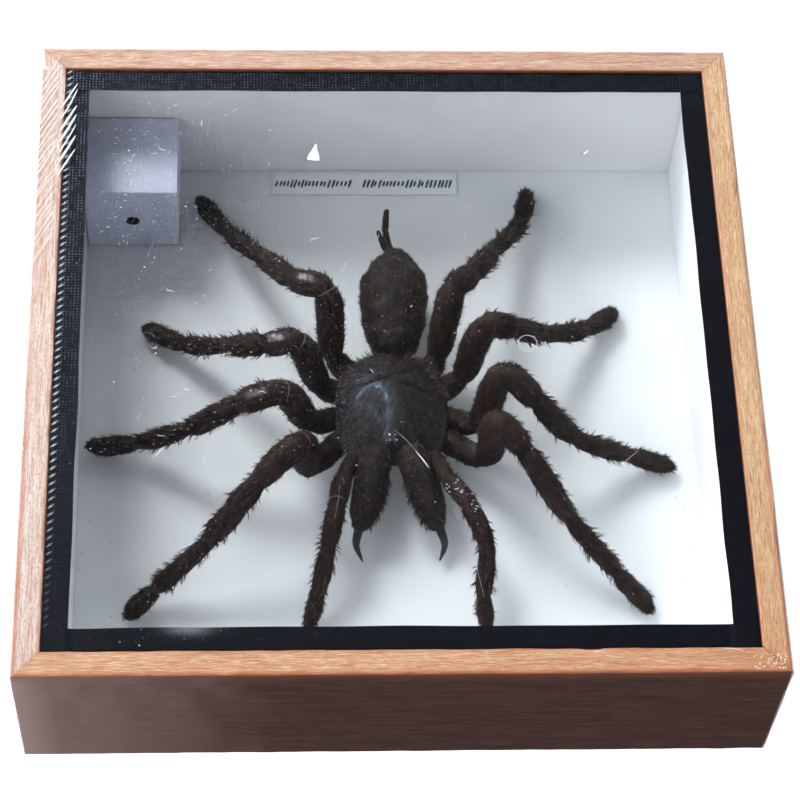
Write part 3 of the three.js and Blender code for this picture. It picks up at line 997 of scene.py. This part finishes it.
# Painted highlights along folds and scratches in the film: the way each one runs, and its widest half
# width.
SCRATCHES = (
    (((-0.6, -28.5), (2.0, -31.0), (5.2, -35.2)), 0.02),
    (((4.8, -34.8), (6.6, -37.4), (8.2, -40.0)), 0.13),
    (((-15.7, -45.2), (-16.2, -50.0), (-17.2, -55.0)), 0.012),
    (((14.4, -52.6), (15.6, -55.8)), 0.06),
    (((16.4, -57.8), (18.6, -64.6), (21.2, -78.0)), 0.025),
    (((55.8, -42.6), (64.6, -35.0)), 0.045),
    (((-66.4, -39.6), (-65.8, -38.2), (-64.9, -36.6)), 0.035),
    (((-64.9, -36.6), (-63.6, -34.9), (-62.3, -33.5)), 0.13),
    (((56.0, 62.6), (57.6, 64.0)), 0.22),
    (((82.0, -93.4), (85.0, -93.6), (87.5, -94.2)), 0.06),
)


# A small three-cornered fold in the film over the label slip, white as a painted reflection, from its
# tip to its foot.
FACET = {"path": ((-20.7, 66.2), (-21.2, 63.0), (-21.5, 60.4)),
         "half_widths": (0.05, 0.4, 1.1, 1.75, 1.9)}
# Clusters of short white glints in the film: two corners of each patch, and how many.
GLINTS = (
    ((90.0, -99.3), (98.6, -95.2), 40),
    ((12.4, -47.4), (18.2, -43.9), 13),
    ((18.0, -53.0), (21.6, -47.5), 8),
)


def on_film(places):
    """Points just above the film over places (x, y)."""
    places = np.asarray(places, float)
    return np.column_stack([places, film_height(places[:, 0], places[:, 1]) + 0.02])


def film_line(joints, half_widths, steps, sides, flat, round_end=0.7):
    """Skin of a flat streak in the film, along a curve through joints."""
    path = np.vstack(curve_through(joints, steps))
    return pod(on_film(path), half_widths, sides, flat, round_end)


def add_fold_highlights(shape, rng):
    """Painted highlights along slanting folds at the back left: fine ones on the rail, and bolder ones
    inside it.
    """
    for y in np.linspace(24, 86, 24) + rng.uniform(-0.9, 0.9, 24):
        joints = [(-99.8, y), (-97.6, y + 4.5), (-94.6, y + rng.uniform(8, 11))]
        width = rng.uniform(0.05, 0.14) * (1 if y > 45 else 0.6)
        shape.skin(film_line(joints, (0.02, width, width * 0.6, width, 0.02), 8, 6, 0.35))
    for y in np.linspace(55, 78, 7) + rng.uniform(-0.5, 0.5, 7):
        joints = [(-93.7, y), (-91.6, y + 4.4), (-89.3, y + rng.uniform(8, 11))]
        width = rng.uniform(0.2, 0.36)
        shape.skin(film_line(joints, (0.04, width, width, width * 0.8, 0.03), 8, 8, 0.35))


def make_crease_highlights():
    """Painted highlights in the film: white lines along the slanting folds at the back left and stray
    scratches, a fold facet, clusters of glints, and a ring round the air hole.
    """
    rng = np.random.default_rng(31)
    shape = Shape()
    add_fold_highlights(shape, rng)
    for joints, width in SCRATCHES:
        widths = (0.02, width * 0.7, width, width * 0.7, 0.02)
        shape.skin(film_line(joints, widths, 14, 8, 0.4))
    shape.skin(film_line(FACET["path"], FACET["half_widths"], 8, 10, 0.04, 0.1))
    for low, high, count in GLINTS:
        for start in rng.uniform(low, high, (count, 2)):
            path = np.linspace(start, start + rng.uniform(-0.7, 0.7, 2), 4)
            shape.skin(pod(on_film(path), (0.03, rng.uniform(0.05, 0.13), 0.03), 6, 0.4))
    turn = np.linspace(0, 2 * np.pi, 60)
    ring = np.column_stack([VENT["place"][0] + VENT["radius"] * np.cos(turn),
                            VENT["place"][1] + VENT["radius"] * np.sin(turn)])
    shape.skin(tube(on_film(ring), 0.055, 0.055, 8))
    make_piece(shape, "film_crease_highlights", [MATERIALS["film_highlight"]])


# Dust on the film. drift lies thick at the left and the back: its start, shape and spread by axis.
# The specks placed over the eyes are painted highlights standing for the eyes' glints.
DUST = {"drift": 4200, "even": 260, "eye_glints": 7, "lint": 26, "widest": 0.26}
DRIFT = {"left": (-84, 1.6, 22), "back": (86, 1.6, 46)}


def add_specks(shape, rng):
    """Small rough grains, thickest along the film's left side and at the back left, and a few over the
    eyes that are painted highlights for their glints.
    """
    (left, shape_x, spread_x), (back, shape_y, spread_y) = DRIFT["left"], DRIFT["back"]
    x = np.concatenate([rng.gamma(shape_x, spread_x, DUST["drift"]) + left,
                        rng.uniform(-88, 88, DUST["even"]), rng.normal(-1.5, 1, DUST["eye_glints"])])
    y = np.concatenate([back - rng.gamma(shape_y, spread_y, DUST["drift"]),
                        rng.uniform(-88, 88, DUST["even"]), rng.normal(-31, 1.2, DUST["eye_glints"])])
    inside = (np.abs(x) < 92) & (np.abs(y) < 92)
    x, y = x[inside], y[inside]
    size = np.minimum(0.07 + rng.gamma(1.0, 0.045, len(x)), DUST["widest"])
    turn = np.radians([0, 120, 240])
    facet = np.column_stack([np.append(np.cos(turn), (0, 0)), np.append(np.sin(turn), (0, 0)),
                             (0, 0, 0, 1, -1)])
    sides = np.array([[0, 1, 3], [1, 2, 3], [2, 0, 3], [1, 0, 4], [2, 1, 4], [0, 2, 4]])
    jag = rng.uniform(0.5, 1.3, (len(x), 5, 1))
    place = on_film(np.column_stack([x, y]))
    points = place[:, None] + facet * jag * (size[:, None] * [1.2, 0.9, 0.5])[:, None]
    faces = (np.arange(len(x))[:, None, None] * 5 + sides).reshape(-1, 3)
    shape.add(points, [faces])


def add_lint(shape, rng):
    """Short curled fibres."""
    for _ in range(DUST["lint"]):
        start = np.array([rng.uniform(-86, 0), rng.uniform(-60, 86)])
        heading = rng.uniform(0, 2 * np.pi)
        steps = [start]
        for _ in range(3):
            heading += rng.uniform(-0.9, 0.9)
            stride = rng.uniform(0.3, 0.9)
            steps.append(steps[-1] + stride * np.array([math.cos(heading), math.sin(heading)]))
        shape.skin(pod(on_film(np.vstack(curve_through(steps, 4))), (0.04, 0.06, 0.06), 5))


def make_dust():
    """Specks and lint lying on the film."""
    rng = np.random.default_rng(47)
    shape = Shape()
    add_specks(shape, rng)
    add_lint(shape, rng)
    make_piece(shape, "film_dust", [MATERIALS["dust"]])


# The two groups of ink strokes: where each starts and ends along X, and how tall strokes may be.
INK_GROUPS = ((-32, -9.5), (-5.5, 21.5))
STROKES = (1.5, 1.7, 2.6)


def make_label():
    """A pale slip by the back wall, with two groups of plain ink strokes."""
    low, high = box_mm("label_slip")
    x = np.linspace(low[0], high[0], 60)
    y = np.linspace(low[1], high[1], 12)
    grid_x, grid_y = np.meshgrid(x, y, indexing="ij")
    near_edge = np.minimum(grid_y - low[1], high[1] - grid_y)
    top = np.stack([grid_x, grid_y, low[2] + 0.03 + 0.05 * np.minimum(near_edge, 1)], -1)
    under = top[:, ::-1] * (1, 1, 0) + (0, 0, low[2] + 0.01)
    shape = Shape()
    shape.skin(np.concatenate([top, under], axis=1)[:, ::-1])
    rng = np.random.default_rng(12)
    for at, end in INK_GROUPS:
        while at < end:
            tall = rng.choice(STROKES)
            shape.skin(ink_stroke(at, y.mean(), tall, low[2] + 0.08), 1)
            at += rng.uniform(0.95, 1.35)
    finishes = [MATERIALS["paper"], MATERIALS["ink"]]
    make_piece(shape, "paper_slip", finishes, ["label_slip"], 50)


def ink_stroke(x, y, tall, z):
    """One short slanting stroke, a thin bar of ink."""
    foot, head = np.array([x, y - tall / 2]), np.array([x + 0.3 * tall, y + tall / 2])
    path = np.column_stack([np.linspace(foot, head, 5), np.full(5, z)])
    return pod(path, (0.3, 0.36, 0.3), 6, 0.12)


# ---- The spider -----------------------------------------------------------------------------


def bare_top(rings, start, end, spread):
    """Tint of 1 along the top of a skin between two shares of its length, fading to its sides."""
    along = np.linspace(0, 1, len(rings))[:, None]
    turn = np.linspace(0, 360, rings.shape[1], endpoint=False)[None]
    window = np.clip((along - start) / 0.12, 0, 1) * np.clip((end - along) / 0.12, 0, 1)
    return window * bell((turn - 82, spread))


def knee_line(path, half_width):
    """A pale fold of skin across the top of a joint."""
    ahead = unit(path[-1] - path[-3])
    across = unit(np.cross(UP, ahead))
    above = np.cross(ahead, across)
    turn = np.radians(np.linspace(25, 150, 16))[:, None]
    arc = path[-1] + (across * np.cos(turn) + above * np.sin(turn)) * half_width
    return pod(arc, (0.04, 0.12, 0.14, 0.12, 0.04), 8)


def claws(tip, heading):
    """Two small hooked claws at the end of a foot."""
    side = unit(np.cross(UP, heading))
    roots = np.array([tip + side * 0.35, tip - side * 0.35])
    first = np.tile(unit(heading + UP * 0.3), (2, 1))
    second = np.tile(unit(heading - UP * 0.9), (2, 1))
    return strands(roots, [first, second], np.full((2, 1), 1.3), 0.16, np.full((2, 1), 0.5))


# Hairs to the square millimetre, their length, lift, half thickness and how many to a tuft.
LEG_COATS = {
    "coxa": ((4.6, 1.2, 18, 0.065, 1), (0.7, 1.6, 40, 0.08, 2)),
    "femur": ((3.7, 1.2, 11, 0.067, 1), (0.7, 1.7, 36, 0.078, 2)),
    "patella": ((3.7, 1.2, 13, 0.067, 1), (1.2, 2.0, 38, 0.08, 4)),
    "tibia": ((3.8, 1.3, 13, 0.067, 1), (1.6, 2.5, 36, 0.08, 5)),
    "metatarsus": ((4.2, 1.2, 16, 0.067, 1), (2.1, 2.6, 40, 0.08, 5)),
    "tarsus": ((5.4, 1.1, 32, 0.067, 1), (1.8, 1.6, 42, 0.08, 3)),
}
BARE_SOCKETS = {"leg_1_right": 0.08, "leg_2_right": 0.06}
# Knee patches: bare skin whose near-white tint is a painted highlight, with its strength on each leg.
BARE_KNEE_HIGHLIGHTS = {"leg_3_left": 1.0, "leg_4_left": 0.8, "leg_2_left": 0.4}


def make_limb(name, joints, segments, finishes, seed):
    """A leg or palp: overlapping segments, membrane at the joints, claws, and two coats of hair."""
    shape = Shape()
    spans = curve_through(joints, 18)
    left = name.endswith("left")
    for k, ((kind, widths), path) in enumerate(zip(segments, spans)):
        rings = rumple(rumple(pod(path, widths, 24), 5.0, 0.16, seed + k), 1.6, 0.08, seed + k + 50)
        tint = 0.0
        # A knee patch is bare skin, and its pale tint is a painted highlight.
        bare_and_highlight = kind == "patella" and name in BARE_KNEE_HIGHLIGHTS
        if bare_and_highlight:
            patchy = np.clip(0.7 + 0.6 * ripple(rings, 1.8, seed), 0, 1)
            tint = BARE_KNEE_HIGHLIGHTS[name] * patchy * bare_top(rings, 0.34, 0.70, 12)
        if kind == "coxa":
            tint = BARE_SOCKETS.get(name, 0.0) * bare_top(rings, 0.5, 1.1, 50)
        shape.skin(rings, 0, tint)
        if k:
            ball = pod(np.linspace(path[0] - 0.6 * unit(path[1] - path[0]), path[1], 4),
                       (widths[0] * 0.9, widths[0] * 0.95, widths[0] * 0.9), 16)
            shape.skin(ball, 2)
        if kind == "femur" and left:
            shape.skin(knee_line(path, widths[-1] + 0.25), 2)
        for coat, (density, length, lift, thick, tuft) in enumerate(LEG_COATS[kind]):
            def keep(roots, up, avoid=bare_and_highlight, centre=path[9]):
                near = np.linalg.norm((roots - centre) * (1, 1, 0.6), axis=1) < 2.2
                return np.where(avoid & near & (up[:, 2] > 0.88), 0.03, 1.0)
            hairs = comb(rings, density, length, lift, thick, seed + 10 * k + coat, keep, tuft=tuft)
            shape.hairs(hairs)
    tip = spans[-1][-1]
    heading = unit(spans[-1][-1] - spans[-1][-3])
    shape.hairs(claws(tip + heading * 1.2, heading), 3)
    make_piece(shape, "hairy_" + name, finishes, [name])


CARAPACE = {"centre": (0.5, -3.1), "half_width": 15.9, "half_length": 18.0,
            "rim": 17.0, "rise": 6.2, "fovea": (-1.2, 3.8), "eyes": (0.3, -16.4)}


# The rings under the front body: share of the way out to the rim, and height.
CARAPACE_UNDER = ((0.995, 16.3), (0.96, 15.2), (0.90, 13.6), (0.80, 11.6), (0.62, 10.2),
                  (0.3, 9.6), (0.02, 9.5))
FURROWS = (62, 22, -18, 118, 158, 198)
# The eyes: each one's place from the middle of their mound, and its half width.
EYES = ((-0.7, -0.5, 0.42), (0.7, -0.5, 0.42), (-1.5, -0.9, 0.36), (1.5, -0.9, 0.36),
        (-1.6, 0.3, 0.34), (1.6, 0.3, 0.34), (-1.0, 0.7, 0.24), (1.0, 0.7, 0.24))


def carapace_height(x, y, share, turn):
    """Height of the back of the front body: a low dome, a raised head and spoke-like furrows."""
    c = CARAPACE
    z = c["rim"] + c["rise"] * (1 - share ** 2.3) + 0.5 * bell((share - 0.97, 0.04))
    ahead = np.clip((c["fovea"][1] - y) / 22, 0, 1)
    head_half = 1.0 + 8.4 * ahead ** 0.75
    beside = np.abs(x - c["fovea"][0] - 1.6 * ahead)
    head = 1 / (1 + np.exp((beside - head_half) / 0.5))
    z = z + 1.15 * head * np.sin(np.clip(ahead * 1.5, 0, 1) * np.pi / 2) * (share < 0.999)
    for spoke in FURROWS:
        turned_by = (np.degrees(turn) - spoke + 180) % 360 - 180
        z = z - 0.75 * bell((turned_by, 6)) * np.sin(np.pi * np.clip(share, 0, 1)) ** 1.2
    z = z - 0.8 * bell((x - c["fovea"][0], 2.8), (y - c["fovea"][1] + 0.03 * x * x, 0.7))
    return z + 1.5 * bell((x - c["eyes"][0], 2.4), (y - c["eyes"][1], 1.9))


def carapace_rings():
    """Rings from the pit in the middle of the back out to the rim, and in again underneath."""
    c = CARAPACE
    turn = np.linspace(0, 2 * np.pi, 132, endpoint=False)
    power = 2.8 - 0.6 * np.sin(turn)
    reach = (np.abs(np.cos(turn)) ** power + np.abs(np.sin(turn)) ** power) ** (-1 / power)
    rim = np.column_stack([c["centre"][0] + c["half_width"] * reach * np.cos(turn),
                           c["centre"][1] + c["half_length"] * reach * np.sin(turn)])
    pole = np.array(c["fovea"])
    rings = []
    for share in np.concatenate([[0.015], np.linspace(0.05, 0.94, 26), [0.965, 0.985, 1.0]]):
        flat = pole + (rim - pole) * share
        spokes = np.arctan2(flat[:, 1] - pole[1], flat[:, 0] - pole[0])
        rings.append(np.column_stack([flat, carapace_height(flat[:, 0], flat[:, 1], share, spokes)]))
    middle = np.array(c["centre"])
    for share, z in CARAPACE_UNDER:
        rings.append(np.column_stack([middle + (rim - middle) * share, np.full(len(rim), z)]))
    return np.stack(rings)[:, ::-1]


# Bluish lines of painted sheen on the back, each with its strength.
SHEEN_LINES = (
    (((-9.4, -1.5), (-6.0, 2.4), (-2.8, 0.4), (-1.0, -3.2), (-0.8, -8.5), (-1.6, -14.5)), 1.0),
    (((-8.6, -3.4), (-5.0, -6.8), (-2.4, -11.6)), 0.55),
)


def sheen(points):
    """Tint of painted sheen along the bluish lines, with a wide painted glow on their left."""
    patchy = 0.6 + 0.4 * ripple(points, 1.5, 77)
    glow = 0.0
    for joints, strength in SHEEN_LINES:
        line = np.vstack(curve_through(joints, 8))
        far = np.linalg.norm(points[..., None, :2] - line, axis=-1).min(-1)
        glow = np.maximum(glow, strength * (0.26 * bell((far, 2.4)) + 0.6 * bell((far, 0.55))))
    return np.clip(glow * patchy, 0, 1) * (points[..., 2] > 17)


def carapace_cover(roots, up):
    """Share of hairs that are left: few along the painted sheen lines, where the skin is partly bare,
    most to the rear and the rim.
    """
    return np.clip(0.9 - sheen(roots), 0, 1) * (up[:, 2] > 0.2)


def rear_rim(roots, up):
    """Share of fringe hairs: all at the rear rim, few down the sides, none in front."""
    return np.clip((roots[:, 1] + 1) / 12, 0, 1) * (up[:, 2] > 0.1)


def make_prosoma(finishes):
    """The front body: carapace, pale skin over the leg sockets, eyes, and hair combed outwards."""
    rings = carapace_rings()
    lumps = ripple(rings, 2.6, 61) * 0.10
    rings[..., 2] += lumps * (rings[..., 2] > 17.5)
    shape = Shape()
    shape.skin(rings, 0, sheen(rings))
    back = rings[:31]
    shape.hairs(comb(back, 7.5, 1.3, 13, 0.055, 62, carapace_cover, 0.2))
    shape.hairs(comb(rings[21:31], 5.0, 2.7, 24, 0.07, 63, rear_rim, 0.3, tuft=2), 4)
    eye_x, eye_y = CARAPACE["eyes"]
    for dx, dy, size in EYES:
        x, y = eye_x + dx, eye_y + dy
        z = carapace_height(np.array(x), np.array(y), 0.8, np.array(-1.5)) - 0.1
        path = np.linspace((x, y - 0.1, z), (x, y + 0.1, z), 4)
        shape.skin(pod(path, (size, size, size), 12, 1.0, 1.0), 3)
    make_piece(shape, "hairy_prosoma", finishes, ["prosoma"])


# Along the hind body: place, middle and half width.
ABDOMEN_WIDTHS = (
    (15.6, 1.6, 5.4), (18.5, 1.6, 7.0), (22.5, 1.5, 8.2), (28.8, 1.9, 9.3), (34.8, 2.1, 9.8),
    (40.0, 2.2, 9.2), (44.0, 2.2, 7.6), (47.5, 2.4, 4.9), (50.2, 1.8, 2.2),
)


def make_abdomen(finishes):
    """The hind body: an egg of shrunken velvety skin."""
    curve = curve_through([(x, y, wide) for y, x, wide in ABDOMEN_WIDTHS], 6)
    rows = np.vstack([span[:-1] for span in curve])
    rows = np.vstack([(1.6, 14.4, 2.0), rows, (1.7, 50.8, 1.4), (1.7, 51.2, 0.3)])
    path = np.column_stack([rows[:, :2], np.full(len(rows), 17.0)])
    rings = tube(path, rows[:, 2], rows[:, 2] * 0.84, 64)
    rings = rumple(rumple(rings, 9, 0.38, 71), 2.6, 0.16, 72)
    shape = Shape()
    shape.skin(rings)
    shape.hairs(comb(rings, 6.0, 0.9, 26, 0.07, 73, stray=0.35))
    shape.hairs(comb(rings, 0.6, 1.7, 36, 0.09, 74, stray=0.25))
    make_piece(shape, "hairy_abdomen", finishes, ["abdomen"])


def make_chelicera(name, finishes, seed):
    """A jaw: a blunt hairy block with a comb of bristles down its inner edge."""
    path = np.vstack(curve_through(CHELICERA_JOINTS[name], 12))
    rings = rumple(pod(path, (4.2, 4.6, 4.7, 4.0, 2.7), 32, 1.05, 0.8), 3.5, 0.12, seed)
    inward = 1 if name.endswith("left") else -1
    shape = Shape()
    shape.skin(rings)
    shape.hairs(comb(rings, 3.0, 1.3, 14, 0.07, seed + 1))
    inner = rings[12:]
    shape.hairs(comb(inner, 3.0, 2.1, 62, 0.085, seed + 2, lambda at, up: up[:, 0] * inward > 0.6, 0.12))
    shape.hairs(comb(rings[:11], 2.2, 1.1, 30, 0.07, seed + 3, lambda at, up: up[:, 2] > 0.1), 2)
    make_piece(shape, "hairy_" + name, finishes, [name])


def make_fang(name):
    """A curved glossy fang."""
    path = np.vstack(curve_through(FANG_JOINTS[name], 10))
    shape = Shape()
    shape.skin(pod(path, (1.4, 1.3, 1.0, 0.5, 0.14), 18, 1.05))
    make_piece(shape, "smooth_" + name, [MATERIALS["horn"]], [name])


def make_spinneret(name, widths, finishes, seed):
    """A finger at the end of the hind body."""
    path = np.vstack(curve_through(SPINNERET_JOINTS[name], 10))
    rings = rumple(pod(path, widths, 16), 1.5, 0.08, seed)
    shape = Shape()
    shape.skin(rings)
    shape.hairs(comb(rings, 7.0, 0.7, 28, 0.04, seed + 1))
    make_piece(shape, "hairy_" + name, finishes, [name])


def make_spider():
    """All parts of the spider, with the finishes that they share."""
    membranes, claw = MATERIALS["membrane"], MATERIALS["horn"]
    # The leg skin's last paint is the near-white of bare knees, a painted highlight.
    leg_skin = cuticle("leg_cuticle", paint(11, 9, 10), paint(62, 43, 38), paint(64, 40, 35),
                       paint(208, 200, 206))
    leg_hair = hair("leg_hair", paint(10, 8, 9), paint(61, 45, 42), paint(166, 138, 128))
    # The carapace skin's last paint is the colour of its painted sheen.
    back_skin = cuticle("carapace_cuticle", paint(16, 14, 16), paint(52, 46, 46), paint(58, 42, 38),
                        paint(120, 138, 158))
    # Its last number is the strength of the painted sheen on the carapace's left side.
    back_hair = hair("carapace_hair", paint(16, 14, 15), paint(66, 58, 56), paint(150, 138, 128), 0.75)
    fringe = hair("fringe_hair", paint(46, 38, 34), paint(124, 108, 90), paint(186, 172, 148))
    soft_skin = cuticle("abdomen_cuticle", paint(16, 13, 13), paint(52, 43, 40), paint(66, 48, 42),
                        paint(90, 88, 96))
    soft_hair = hair("abdomen_hair", paint(14, 12, 13), paint(64, 56, 54), paint(158, 146, 138))
    legs = [leg_skin, leg_hair, membranes, claw]
    body = [soft_skin, soft_hair, membranes, claw]
    for k, (name, joints) in enumerate(LEG_JOINTS.items()):
        make_limb(name, joints, LEG_SEGMENTS, legs, 100 + 97 * k)
    for k, (name, joints) in enumerate(PALP_JOINTS.items()):
        make_limb(name, joints, PALP_SEGMENTS, legs, 1100 + 97 * k)
    make_prosoma([back_skin, back_hair, membranes, claw, fringe])
    make_abdomen(body)
    for k, name in enumerate(CHELICERA_JOINTS):
        make_chelicera(name, [soft_skin, soft_hair, fringe], 1400 + 50 * k)
    for name in FANG_JOINTS:
        make_fang(name)
    make_spinneret("spinneret_long", (1.2, 1.15, 0.95, 0.9, 0.7), body, 1600)
    make_spinneret("spinneret_short", (0.75, 0.8, 0.6), body, 1650)


# ---- Camera, light and floor ----------------------------------------------------------------


CAMERA = {"lens": 120.44, "shift": (-0.0055, -0.0465), "place": (-0.03594, -0.38419, 0.67405),
          "turn": (31.1795, -2.5538, -1.6169)}
KEY = {"towards": (-0.5, 0.85, 1.0), "distance": 1.45, "size": 0.44, "power": 15.6}


def make_camera():
    """The photograph's point of view."""
    data = bpy.data.cameras.new("camera")
    data.sensor_width = 36
    data.lens = CAMERA["lens"]
    data.shift_x, data.shift_y = CAMERA["shift"]
    camera = add_object("camera", data)
    camera.location = CAMERA["place"]
    camera.rotation_euler = [math.radians(a) for a in CAMERA["turn"]]
    bpy.context.scene.camera = camera


def make_light(name, towards, distance, size, power):
    """A square studio lamp that shines at the case from a direction."""
    data = bpy.data.lights.new(name, "AREA")
    data.size = size
    data.energy = power
    lamp = add_object(name, data)
    lamp.location = Vector(towards).normalized() * distance
    lamp.rotation_euler = (-lamp.location).to_track_quat("-Z", "Y").to_euler()


# How bright the sky is towards one side: axis, sign and strength at the horizon.
# MIRRORED are the slopes of the sky that the film shows the camera, aside and behind.
MIRRORED = ((-0.25, 0.41), (0.14, 1.06))
SKY = (("X", -1.0, 5.3), ("X", 1.0, 0.25), ("Y", 1.0, 4.3), ("Y", -1.0, 0.75))


def make_world():
    """A soft studio, bright at the left and the back, but dark where the film would mirror it."""
    world = bpy.data.worlds.new("studio")
    world.use_nodes = True
    g = Graph(world.node_tree)
    way = g.node("TexCoord").outputs["Generated"]
    high = g.part(way, "Z")
    height = g.larger(g.unsigned(high), 0.05)
    aside = g.math("DIVIDE", g.part(way, "X"), height)
    behind = g.math("DIVIDE", g.part(way, "Y"), height)
    off = [g.math("POWER", g.unsigned(g.span(slope, low, high, -1, 1)), 2.0)
           for slope, (low, high) in zip((aside, behind), MIRRORED)]
    far = g.math("SQRT", g.math("ADD", *off))
    sky = 0.02
    for axis, sign, strength in SKY:
        towards = g.larger(g.times(g.part(way, axis), sign), 0.0)
        sky = g.math("ADD", g.times(g.math("POWER", towards, 2.0), strength), sky)
    above = g.mix(g.span(far, 0.85, 1.1), (0.02, 0.02, 0.022, 1), sky)
    below = g.mix(g.span(aside, 0.0, -0.12), (0.03, 0.03, 0.03, 1), (0.42, 0.42, 0.44, 1))
    below = g.mix(g.span(behind, 0.05, 0.1), below, (0.9, 0.9, 0.91, 1))
    light = g.mix(g.span(high, -0.02, 0.02), below, above)
    light = g.mix(1.0, light, (1, 1.015, 1.035, 1), "MULTIPLY")
    background = g.node("Background", {"Color": light}).outputs[0]
    g.node("OutputWorld", {"Surface": background})
    bpy.context.scene.world = world


FLOOR_HALF = 12.0


def make_floor():
    """A plain white floor that glows a little, so that shadows on it stay pale."""
    f = Finish("floor_white")
    tooth = f.noise(3, 3)
    tone = f.mix(tooth, paint(246, 246, 247), paint(252, 252, 252))
    material = f.solid({"Base Color": tone, "Roughness": 0.9, "Emission Color": tone,
                        "Emission Strength": 0.8})
    mesh = bpy.data.meshes.new("floor")
    corners = ((-1, -1), (1, -1), (1, 1), (-1, 1))
    mesh.from_pydata([(x * FLOOR_HALF, y * FLOOR_HALF, 0) for x, y in corners], [], [(0, 1, 2, 3)])
    mesh.materials.append(material)
    floor = add_object("floor", mesh)
    floor.visible_diffuse = False
    floor.visible_glossy = False
    floor.visible_transmission = False


def set_rendering():
    """Enough bounces to see through the film and the glass, and back out."""
    scene = bpy.context.scene
    scene.view_settings.view_transform = "Standard"
    scene.cycles.max_bounces = 14
    scene.cycles.transmission_bounces = 12
    scene.cycles.transparent_max_bounces = 24
    scene.cycles.diffuse_bounces = 3
    scene.cycles.glossy_bounces = 4
    scene.cycles.sample_clamp_indirect = 4
    scene.cycles.use_denoising = True


MATERIALS = {
    "tape": tape(),
    "film": film(),
    "dust": dust(),
    # Painted highlights: white standing for light glinting off folds, scratches and the air hole's rim
    # in the film.
    "film_highlight": plain("film_highlight_paint", ((0.3, 1.2, 0.3), 3, 0.6), (0.35, 0.65),
                      ((226, 230, 238), (255, 255, 255)), 0.3, 0.03, {"Transmission Weight": 0.25}),
    "paper": plain("slip_paper", ((1.6, 0.4, 0.4), 4, 0.65), (0.3, 0.7),
                   ((232, 236, 242), (240, 243, 247)), 0.75, 0.02),
    "ink": plain("navy_ink", (0.35, 2), (0.35, 0.7), ((34, 40, 78), (66, 72, 112)), 0.5, 0.01),
    # Dry folded skin at the spider's joints.
    "membrane": plain("joint_membrane", (0.8, 3, 0.6), (0.3, 0.7),
                      ((84, 62, 56), (140, 114, 106)), 0.55, 0.15),
    # Glossy black fangs, claws and eyes, and the painted shade inside the repellent block's hole.
    "horn": plain("fang_horn", ((2, 2, 0.6), 3), (0.35, 0.7),
                  ((8, 9, 13), (26, 24, 30)), (0.16, 0.28), 0.03),
}

make_camera()
make_world()
make_light("key", **KEY)
make_floor()
set_rendering()

for number, side in enumerate(TURNS):
    make_rail(side, 200 + 10 * number)
make_inserts()
make_liners()
make_repellent()
for number, side in enumerate(TAPE_LAPS):
    make_tape(side, 300 + number)
make_label()
make_spider()
make_dust()
make_film()
make_crease_highlights()
